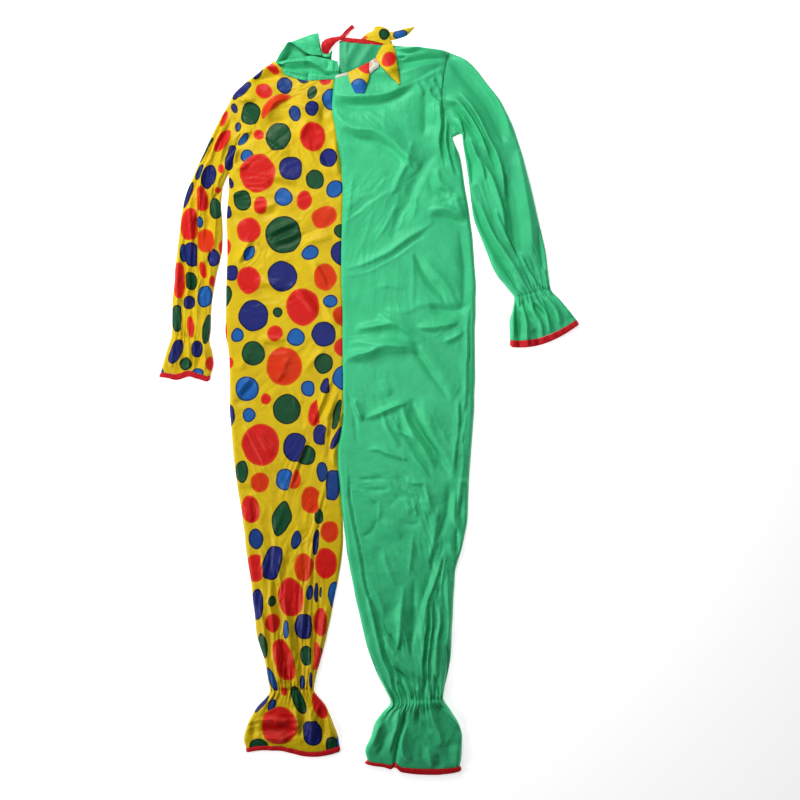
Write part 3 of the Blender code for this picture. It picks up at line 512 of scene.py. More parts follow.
def follow_seam(rows):
    """The inner end of each row moved onto the seam down the middle, where the row meets it."""
    seam_y = np.clip(rows[:, 3], CENTRE_SEAM[0, 1], CENTRE_SEAM[-1, 1])
    seam, _, _ = ease_rows(CENTRE_SEAM, np.diff(CENTRE_SEAM[:, 1]), SEAM_STEP)
    on_seam = rows[:, 3] >= CENTRE_SEAM[0, 1]
    rows[:, 2] = np.where(on_seam, np.interp(seam_y, seam[:, 1], seam[:, 0]), rows[:, 2])


def front_panel(sections, columns, creases, crushes, elastic, seed):
    """Places of a front: its crown, creases, pleats and crumples over the back beneath it."""
    table = np.array(sections, float)
    rows, along, place = ease_rows(table, mean_gaps(table), CELL)
    follow_seam(rows)
    x, y, u = spread_rows(rows, columns)
    x, y = settle(x, y)
    width = np.hypot(rows[:, 2] - rows[:, 0], rows[:, 3] - rows[:, 1])[:, None]
    crown, outer_drop, inner_drop = (rows[:, k, None] for k in (6, 7, 8))
    rise = 1 - outer_drop * (1 - edge_rise(u * width, EDGE_ROLL))
    rise = rise * (1 - inner_drop * (1 - edge_rise((1 - u) * width, EDGE_ROLL)))
    astray_x, astray_y = x + 2 * rumple(x, y, 45, seed), y + 2 * rumple(x, y, 45, seed + 1)
    height = crown + crease_height(astray_x, astray_y, creases)
    height = height + pleat_height(u, along[:, None] - place[elastic.row], elastic)
    height = height + crush_height(x, y, crushes, seed + 300)
    height = height + 0.9 * rumple(x, y, 70, seed + 2) + 0.55 * rumple(x + y, y - x, 30, seed + 3)
    height = height + 0.6 * crumple(x, y, 26, seed + 4) + 0.25 * crumple(y, x, 11, seed + 5)
    return x, y, UNDER + SATIN_WALL + rise * soft_floor(height)


def cloth_mesh(name, x, y, z, materials, wall, ring=False, face_up=True):
    """A sheet from a grid of places in millimetres, or a tube where each row is a closed ring.

    Its shown side is the grid, and Solidify gives it a wall on the other side. Each point notes
    its place on the uncreased cloth: across it as at its widest, and along it.
    """
    count, across = x.shape
    index = np.arange(count * across).reshape(count, across)
    beside = np.roll(index, -1, axis=1) if ring else index[:, 1:]
    here = index if ring else index[:, :-1]
    quads = np.stack([here[:-1], beside[:-1], beside[1:], here[1:]], -1).reshape(-1, 4)
    points = np.stack([x, y, z], -1).reshape(-1, 3) * MM
    a, b, c = (points[quads[:, k]] for k in range(3))
    upward = np.cross(b - a, c - b)[:, 2]
    turned = (upward * (a[:, 2] - a[:, 2].mean())).sum() < 0 if ring else upward.sum() < 0
    if turned == face_up:
        quads = quads[:, ::-1]
    mesh = bpy.data.meshes.new(name)
    mesh.from_pydata(points.tolist(), [], quads.tolist())
    for material in materials:
        mesh.materials.append(material)
    mesh.shade_smooth()
    grid = points.reshape(count, across, 3)
    side, up = np.diff(grid, axis=1), np.diff(grid, axis=0)
    breadth = np.linalg.norm(side, axis=-1).sum(axis=1).max()
    grain = np.zeros((count, across, 3), np.float32)
    grain[..., 0] = np.linspace(0.0, breadth, across)
    grain[1:, :, 1] = np.cumsum(np.linalg.norm(up, axis=-1).mean(axis=1))[:, None]
    mesh.attributes.new("grain", "FLOAT_VECTOR", "POINT").data.foreach_set("vector", grain.ravel())
    piece = bpy.data.objects.new(name, mesh)
    bpy.context.scene.collection.objects.link(piece)
    thicken = piece.modifiers.new("wall", "SOLIDIFY")
    thicken.thickness = wall * MM
    thicken.offset = -1.0
    thicken.use_rim = True
    thicken.material_offset = len(materials) - 1
    shading = piece.modifiers.new("shading", "WEIGHTED_NORMAL")
    shading.mode = "FACE_AREA"
    shading.weight = 90
    return piece


def node(tree, kind, values, **settings):
    """A shader node. Each value fills a socket, or is joined to it where it is itself a socket."""
    made = tree.nodes.new(f"ShaderNode{kind}")
    for setting, value in settings.items():
        setattr(made, setting, value)
    for socket, value in values.items():
        if isinstance(value, bpy.types.NodeSocket):
            tree.links.new(value, made.inputs[socket])
        else:
            made.inputs[socket].default_value = value
    return made


def blend(tree, share, first, second):
    """The colour that lies a share of the way from the first to the second."""
    return node(tree, "Mix", {"Factor": share, "A": first, "B": second}, data_type="RGBA").outputs["Result"]


def satin(name, colour, shade, gloss, gloss_tint):
    """Polyester satin: its colour drifts a little, its gloss is broken by soft crumples.

    A soft crumple, fine pulls along the cloth and a fine warp and weft stand up as bump.
    """
    material = bpy.data.materials.new(name)
    material.use_nodes = True
    tree = material.node_tree
    shader = tree.nodes["Principled BSDF"]
    place = node(tree, "TexCoord", {}).outputs["Object"]
    drift = node(tree, "TexNoise", {"Scale": 22.0, "Detail": 3.0, "Vector": place}).outputs["Fac"]
    spread = node(tree, "MapRange", {"From Min": 0.25, "From Max": 0.55, "Value": drift})
    tint = blend(tree, spread.outputs["Result"], (*shade, 1.0), (*colour, 1.0))
    polish = node(tree, "MapRange", {"To Min": 0.40, "To Max": 0.54, "Value": drift})
    tree.links.new(tint, shader.inputs["Base Color"])
    tree.links.new(polish.outputs["Result"], shader.inputs["Roughness"])
    shader.inputs["Specular IOR Level"].default_value = gloss
    shader.inputs["Specular Tint"].default_value = (*gloss_tint, 1.0)
    grain = node(tree, "Attribute", {}, attribute_name="grain").outputs["Vector"]
    pulled = node(tree, "Mapping", {
        "Rotation": (0.0, 0.0, 0.10), "Scale": (110.0, 13.0, 60.0), "Vector": grain,
    }).outputs["Vector"]
    soft = node(tree, "TexNoise", {"Scale": 95.0, "Detail": 4.0, "Roughness": 0.55, "Vector": place})
    lines = node(tree, "TexNoise", {"Scale": 1.0, "Detail": 3.0, "Distortion": 0.9, "Vector": pulled})
    weave = node(
        tree, "TexWave", {"Scale": 420.0, "Distortion": 0.6, "Vector": place}, bands_direction="DIAGONAL"
    )
    under = {}
    for relief, strength, depth in ((soft, 0.42, 0.0016), (lines, 0.24, 0.0014), (weave, 0.10, 0.0002)):
        raised = {"Strength": strength, "Distance": depth, "Height": relief.outputs["Fac"], **under}
        under = {"Normal": node(tree, "Bump", raised).outputs["Normal"]}
    tree.links.new(under["Normal"], shader.inputs["Normal"])
    return material


GREEN = (0.050, 0.56, 0.240)
GREEN_SHADE = (0.040, 0.49, 0.205)
GREEN_GLOSS, GREEN_GLINT = 0.55, (0.40, 1.0, 0.68)
green_satin = satin("green_satin", GREEN, GREEN_SHADE, GREEN_GLOSS, GREEN_GLINT)

GREEN_COLUMNS = 92
green_x, green_y, green_z = front_panel(
    GREEN_FRONT, GREEN_COLUMNS, GREEN_CREASES + [GREEN_GROOVE, GREEN_RIDGE], GREEN_CRUSHES,
    GREEN_ANKLE, seed=40
)
front_green = cloth_mesh("front_green_satin", green_x, green_y, green_z, [green_satin], SATIN_WALL)
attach(front_green, "root")
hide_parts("front_green")

# ---- Back of the green half -----------------------------------------------------------------
# The back is cut in one as the front is, but reaches higher at the neck, and a slit at its middle
# is left open. It lies flat on the table, and its inside shows through the neck.

BACK_WALL = 0.8
BACK_LIFT = 0.1          # height of the underside
ON_TABLE = BACK_LIFT + 0.01      # cloth up to here lies on the table
BACK_CELL = 6.0
NECK_POINT_RISE = 1.5    # how far the back stands above the front at the end of the shoulder
SLIT_DEPTH = 330.0
SLIT_HALF_WIDTH = 9.0
GREEN_BACK_NECK = [650.0, 656.0, 690.0, 728.0, 772.0]     # heights at the slit of the last rows
GREEN_BACK_BOW = 0.6
GREEN_BACK_CREASES = [
    (1.7, 6, 7, (-22, 772), (-38, 748), (-48, 724), (-52, 698)),
    (1.4, 8, 7, (12, 770), (-4, 746), (-20, 722), (-30, 706)),
    (1, 5, 4, (-48, 776), (-50, 750), (-54, 720)),
]


def back_panel(sections, side, neck_heights, neck_bow, creases):
    """Places of a back: its rows are the front's, with the slit and the higher neck cut in.

    It is flat but for low creases that rise where nothing lies on it.
    """
    table = np.array(sections, float)[:, :6]
    table[-len(neck_heights):, 3] = neck_heights
    table[-6:, 4:] = 0.0
    table[-1, 1] += NECK_POINT_RISE
    table[-1, 4] = neck_bow
    rows, _, _ = ease_rows(table, mean_gaps(table), BACK_CELL)
    follow_seam(rows)
    open_share = np.clip((rows[:, 3] - neck_heights[-1] + SLIT_DEPTH) / SLIT_DEPTH, 0, 1)
    rows[:, 2] += side * (0.2 + SLIT_HALF_WIDTH * open_share)
    width = np.abs(rows[:, 2] - rows[:, 0]).max()
    x, y, _ = spread_rows(rows, int(np.ceil(width / BACK_CELL)))
    x, y = settle(x, y)
    return x, y, BACK_LIFT + np.maximum(crease_height(x, y, creases), 0.0)


x, y, z = back_panel(GREEN_FRONT, 1, GREEN_BACK_NECK, GREEN_BACK_BOW, GREEN_BACK_CREASES)
# The inside of the back is a darker copy of the green satin. This is painted shade where it lies in the
# shadow of the neck opening, and partly the duller reverse of the satin.
GREEN_INSIDE_PAINTED_SHADE = (0.033, 0.38, 0.165)
GREEN_INSIDE_PAINTED_SHADE_DRIFT = (0.027, 0.33, 0.14)
green_reverse_painted_shade = satin("green_reverse_painted_shade", GREEN_INSIDE_PAINTED_SHADE, GREEN_INSIDE_PAINTED_SHADE_DRIFT, GREEN_GLOSS, GREEN_GLINT)
back_green = cloth_mesh("back_green_satin", x, y, z, [green_satin, green_reverse_painted_shade], BACK_WALL, face_up=False)
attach(back_green, "root")
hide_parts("back_green")

# ---- Sleeve of the green half ---------------------------------------------------------------
# One piece of satin, folded round the arm and closed under it, eased into the armhole. A narrow
# elastic gathers it above the cuff frill.

# Rows of a sleeve, armhole to hem: the upper end and the under end, the bow and the crown.
GREEN_SLEEVE = [
    (172, 746, 180, 562, 0, 7.5), (206, 733, 190, 568, 0, 7.5), (250, 683, 199, 572, 0, 8),
    (290, 630, 206, 526, 0, 8), (322, 553, 216, 461, 0, 8), (343, 479, 224, 397, 0, 8),
    (362, 400, 247, 332, 0, 8), (379, 322, 275, 268, 0, 8), (387, 262, 300, 235, 0, 8.5),
    (391, 238, 312, 219, 0, 7.5), (411, 216, 309, 196, -2, 8.5), (432, 190, 302, 165, -6, 9.5),
    (446, 172, 303, 127, -15, 9.5),
]
GREEN_WRIST = Elastic(9, 20, 5.4, 34, 40, 23)
GREEN_SLEEVE_CREASES = [
    (-12.8, 12, 13, (166, 726), (186, 714), (206, 698), (232, 670), (256, 640), (276, 596), (290, 548)),
    (6, 13, 10, (176, 742), (226, 706), (262, 662), (290, 612), (308, 560)),
    (8.3, 9, 4, (156, 642), (184, 640), (206, 618), (230, 584), (246, 554), (260, 518)),
    (-7.5, 4, 6, (160, 634), (184, 630), (204, 604), (224, 574), (240, 544)),
    (6.8, 8, 4, (196, 660), (220, 628), (238, 598), (256, 560), (276, 520), (288, 474), (294, 424)),
    (-6, 4, 6, (204, 636), (224, 606), (242, 572), (262, 528), (276, 486)),
    (6, 6, 4, (160, 624), (172, 606), (186, 592), (198, 574)),
    (-6.8, 5, 5, (164, 614), (178, 596), (192, 580), (200, 566)),
    (5.4, 5, 4, (190, 606), (198, 586), (204, 560)),
    (-7.5, 7, 8, (202, 578), (212, 538), (222, 500), (222, 458)),
    (6.8, 8, 6, (216, 560), (228, 526), (240, 500), (250, 470)),
    (6.8, 9, 5, (236, 520), (260, 482), (276, 440), (287, 402), (294, 356)),
    (-9, 9, 11, (294, 484), (306, 420), (312, 376), (316, 326), (330, 286)),
    (5.4, 16, 14, (318, 540), (334, 456), (346, 378), (352, 310)),
    (7.5, 8, 5, (236, 424), (264, 356), (296, 306), (320, 268), (336, 234)),
    (-7.5, 5, 6, (226, 420), (248, 364), (276, 314), (302, 268), (320, 232)),
    (6.8, 6, 4, (270, 410), (284, 370), (306, 330), (328, 290), (346, 250)),
    (-6, 4, 4, (292, 364), (314, 321), (331, 284), (348, 246)),
    (6, 6, 5, (318, 318), (340, 282), (362, 252), (384, 236)),
    (-6, 4, 4, (332, 304), (350, 270), (368, 246), (386, 228)),
    (-4.5, 7, 7, (362, 370), (370, 316), (374, 276)),
    (-4.5, 4, 4, (212, 460), (224, 424), (244, 376), (262, 336)),
    # cuff frill
    (-7.5, 4, 5, (314, 216), (317, 190), (319, 160), (324, 112)),
    (4.5, 6, 5, (308, 205), (309, 175), (311, 130)),
    (6, 9, 6, (330, 205), (334, 180), (338, 150), (340, 120)),
    (-3.9, 5, 5, (330, 212), (338, 190), (350, 168)),
    (4.8, 7, 5, (345, 208), (354, 186), (368, 160), (372, 132)),
    (4.5, 7, 5, (358, 212), (376, 190), (384, 165), (388, 140)),
    (-4.1, 5, 6, (352, 206), (370, 186), (380, 178)), (5.1, 9, 7, (378, 222), (400, 190), (412, 160)),
    (-3.9, 6, 6, (374, 214), (394, 184), (400, 158)), (3.9, 9, 8, (394, 224), (416, 202), (436, 176)),
    (-3, 8, 8, (352, 150), (360, 140), (364, 128)),
]
GREEN_SLEEVE_CRUSHES = [
    (190, 600, 40, 30, -42, 34, 7, 1.8), (232, 500, 90, 22, -74, 60, 8, 1.6),
    (262, 380, 90, 30, -66, 60, 8, 1.4), (300, 290, 60, 34, -55, 44, 8, 2),
    (350, 300, 70, 34, -70, 50, 8, 1.2), (360, 170, 50, 70, -75, 40, 9, 2.2),
]
SLEEVE_ROLL = 7.0
SLEEVE_LOW = 24          # strips across the side that lies on the table
SEAM_FADE = 14.0         # length over which a sleeve takes up the height of the armhole


def close_below(x, y, z):
    """Rows over the top closed to rings, back across the side that lies on the table."""
    picks = np.linspace(x.shape[-1] - 1, 0, SLEEVE_LOW + 1).round().astype(int)
    low_x, low_y = x[..., picks], y[..., picks]
    low_z = np.full(low_x.shape, BACK_LIFT)
    return tuple(np.concatenate(pair, axis=-1) for pair in ((x, low_x), (y, low_y), (z, low_z)))


def sleeve_tube(hole, rings, across, elastic, creases, crushes, seed):
    """Rings of a sleeve from armhole to hem: over the top, and back along the table.

    The first ring follows the edge of the body, which eases out over the upper arm.
    """
    table = np.array(rings, float)
    rows, along, place = ease_rows(table, mean_gaps(table), CELL)
    u = np.linspace(0.0, 1.0, across + 1)[None, :]
    share = np.concatenate([[0.0], np.cumsum(np.hypot(*np.diff(hole[:, :2], axis=0).T))])
    share /= share[-1]
    edge = np.stack([np.interp(u[0], share, hole[:, k]) for k in range(3)], -1)
    x = rows[:, 0, None] + (rows[:, 2] - rows[:, 0])[:, None] * u
    y = rows[:, 1, None] + (rows[:, 3] - rows[:, 1])[:, None] * u + rows[:, 4, None] * 4 * u * (1 - u)
    ease = np.clip(1 - along / place[3], 0, 1)[:, None] ** 1.5
    x, y = settle(x, y)
    x, y = x + ease * (edge[:, 0] - x[0]), y + ease * (edge[:, 1] - y[0])
    width = np.hypot(rows[:, 2] - rows[:, 0], rows[:, 3] - rows[:, 1])[:, None]
    rise = edge_rise(np.minimum(u, 1 - u) * width, SLEEVE_ROLL)
    height = rows[:, 5, None] + crease_height(x, y, creases)
    away = place[elastic.row] - along[:, None]
    height = height + pleat_height(np.broadcast_to(u, x.shape), away, elastic)
    height = height + crush_height(x, y, crushes, seed + 300)
    height = height + 0.8 * rumple(x, y, 60, seed) + 0.5 * rumple(x + y, y - x, 26, seed + 1)
    height = height + 0.5 * crumple(x, y, 22, seed + 2) + 0.2 * crumple(y, x, 10, seed + 3)
    z = UNDER + SATIN_WALL + rise * soft_floor(height)
    take = np.exp(-((along[:, None] / SEAM_FADE) ** 2))
    return close_below(x, y, z * (1 - take) + edge[:, 2] * take)


def armhole(x, y, z, sections, armpit, shoulder, gap):
    """The edge of the body from the tip of the shoulder to the armpit, a seam's gap outwards."""
    _, along, place = ease_rows(sections, mean_gaps(sections), CELL)
    rows = slice(np.searchsorted(along, place[armpit]), np.searchsorted(along, place[shoulder]) + 1)
    return np.stack([x[rows, 0] + gap, y[rows, 0], z[rows, 0]], -1)[::-1]


SLEEVE_ACROSS = 62
green_hole = armhole(green_x, green_y, green_z, GREEN_FRONT, GREEN_ARMPIT, GREEN_SHOULDER, 0.05)
green_sleeve_x, green_sleeve_y, green_sleeve_z = sleeve_tube(
    green_hole, GREEN_SLEEVE, SLEEVE_ACROSS, GREEN_WRIST, GREEN_SLEEVE_CREASES, GREEN_SLEEVE_CRUSHES,
    seed=60
)
sleeve_green = cloth_mesh(
    "sleeve_green_satin", green_sleeve_x, green_sleeve_y, green_sleeve_z,
    [green_satin], SATIN_WALL, ring=True
)
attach(sleeve_green, "root")
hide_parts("sleeve_green")

# ---- Red binding of the green half ----------------------------------------------------------
# Satin bias tape, folded over the raw edge of each frill and stitched down. It is made as one
# closed band round the flattened opening, plump between its two folded edges.

BINDING_WALL = 1.1
BINDING_ROWS = 9
STITCH_AT = 0.2          # how far down the tape its stitching runs
END_ROUND = 7.0          # how far from the side folds the tape reaches its full width
Hem = namedtuple("Hem", "outer_x outer_y inner_x inner_y bow sway")


def binding_band(name, ring_x, ring_y, ring_z, across, hem, material):
    """A band from the hem to its own lower edge: plump, with a groove along its stitching."""
    u = np.linspace(0.0, 1.0, across + 1)
    low_x = hem.outer_x + (hem.inner_x - hem.outer_x) * u
    low_y = hem.outer_y + (hem.inner_y - hem.outer_y) * u + hem.bow * 4 * u * (1 - u)
    low_y = low_y + hem.sway * np.sin(2 * np.pi * u)
    low_x, low_y = settle(low_x, low_y)
    end = np.clip(np.minimum(u, 1 - u) * np.hypot(np.ptp(low_x), np.ptp(low_y)) / END_ROUND, 0, 1)
    full = 0.70 + 0.30 * np.sqrt(1 - (1 - end) ** 2)
    low_x = ring_x[: across + 1] + (low_x - ring_x[: across + 1]) * full
    low_y = ring_y[: across + 1] + (low_y - ring_y[: across + 1]) * full
    picks = np.linspace(across, 0, len(ring_x) - across - 1).round().astype(int)
    low_x, low_y = np.concatenate([low_x, low_x[picks]]), np.concatenate([low_y, low_y[picks]])
    t = np.linspace(0.03, 1.0, BINDING_ROWS)[:, None]
    plump = 1.5 * np.sqrt(np.clip(1 - (2 * t - 1) ** 4, 0, 1))
    groove = 0.5 * np.exp(-(((t - STITCH_AT) / 0.07) ** 2))
    on_top = (ring_z > ON_TABLE)[None, :]
    x = ring_x + (low_x - ring_x) * t
    y = ring_y + (low_y - ring_y) * t
    pucker = 0.35 * rumple(x, y, 7, 91) + 0.25 * rumple(x, y, 4, 92)
    z = np.where(on_top, ring_z * (1 - 0.12 * t) + plump - groove + pucker, BACK_LIFT)
    return cloth_mesh(name, x, y, z, [material], BINDING_WALL, ring=True)


RED = (0.62, 0.012, 0.018)
RED_SHADE = (0.50, 0.008, 0.014)
RED_GLOSS, RED_GLINT = 0.3, (1.0, 0.5, 0.5)
red_tape = satin("red_tape", RED, RED_SHADE, RED_GLOSS, RED_GLINT)

GREEN_ANKLE_HEM = Hem(204, -797, -11, -782, -15.3, -1.4)
GREEN_CUFF_HEM = Hem(453, 162.5, 302, 113, -18, 0)
green_hem = close_below(green_x[0], green_y[0], green_z[0])
ankle_binding_green = binding_band(
    "ankle_binding_green_tape", *green_hem, GREEN_COLUMNS, GREEN_ANKLE_HEM, red_tape
)
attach(ankle_binding_green, "root")
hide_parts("ankle_binding_green")
cuff_binding_green = binding_band(
    "cuff_binding_green_tape", green_sleeve_x[-1], green_sleeve_y[-1], green_sleeve_z[-1],
    SLEEVE_ACROSS, GREEN_CUFF_HEM, red_tape
)
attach(cuff_binding_green, "root")
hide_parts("cuff_binding_green")

# ---- Front of the dotted half ---------------------------------------------------------------
# Yellow polyester satin printed with loose round dots in reds, blues and a dark green, cut and
# gathered as the green front is. Folds that have been pressed in hide a part of some dots.

DOTTED_FRONT = [
    (-265, -750, -63, -745, -3, 8, 4, 1, 1), (-270, -732, -66, -727, -2, 6, 6, 1, 1),
    (-263, -702, -75, -703, 0, 3, 7, 1, 1), (-243, -664, -93, -660, 0, 0, 6, 1, 1),
    (-213, -626, -118, -622, 0, 0, 5, 1, 1), (-217, -603, -115, -601, 0, 0, 6, 1, 1),
    (-223, -568, -106, -568, 0, 0, 6, 1, 1), (-241, -506, -90, -506, 0, 0, 5, 1, 1),
    (-249, -442, -77, -442, 0, 0, 5, 1, 1), (-256, -377, -64, -377, 0, 0, 5, 1, 1),
    (-266, -313, -56, -313, 0, 0, 5, 1, 1), (-273, -248, -57.5, -250, 0, 0, 4.5, 1, 1),
    (-284, -184, -63, -184, 0, 0, 4, 1, 1), (-292, -119, -69, -119, 0, 0, 4, 1, 0.9),
    (-297, -55, -58, -55, 0, 0, 4, 1, 0.8), (-300, 0, -56, 0, 0, 0, 4, 1, 0.6),
    (-300, 75, -56, 75, 0, 0, 4, 1, 0.5), (-309, 150, -57, 150, 0, 0, 4, 1, 0.5),
    (-308, 222, -58, 222, 0, 0, 4, 1, 0.5), (-306, 300, -60, 300, 0, 0, 4, 1, 0.5),
    (-306, 380, -58, 380, 0, 0, 4, 1, 0.5), (-303, 440, -57, 440, 0, 0, 4, 1, 0.5),
    (-301, 487, -60, 490, 0, 0, 4, 0.6, 0.5), (-296, 507, -61, 507, 0, 0, 4, 0.35, 0.5),
    (-291, 528, -64, 525, 0, 0, 4, 0.35, 0.5), (-283, 552, -67.5, 545, 0, 0, 4, 0.35, 0.5),
    (-275, 577, -70.5, 565, 0, 0, 4, 0.35, 0.5), (-276, 598, -73, 583, 0, 0, 4, 0.35, 0.5),
    (-284, 620, -76, 600, -1, 0, 4, 0.4, 0.5), (-298, 642, -78.5, 617, -2, 0, 4, 0.9, 0.5),
    (-272, 674, -79, 634, -4, 0, 4, 1, 0.5), (-246, 696, -79, 652, -9, -1, 5, 1, 0.5),
    (-224, 714, -77.5, 670, -14, -3, 4, 1, 0.5), (-204, 729, -73, 692, -22, -5, 2, 1, 0.6),
]
DOTTED_ARMPIT, DOTTED_SHOULDER = 22, 29
DOTTED_COLUMNS = 90
DOTTED_ANKLE = Elastic(4, 20, 6.0, 50, 32, 37)
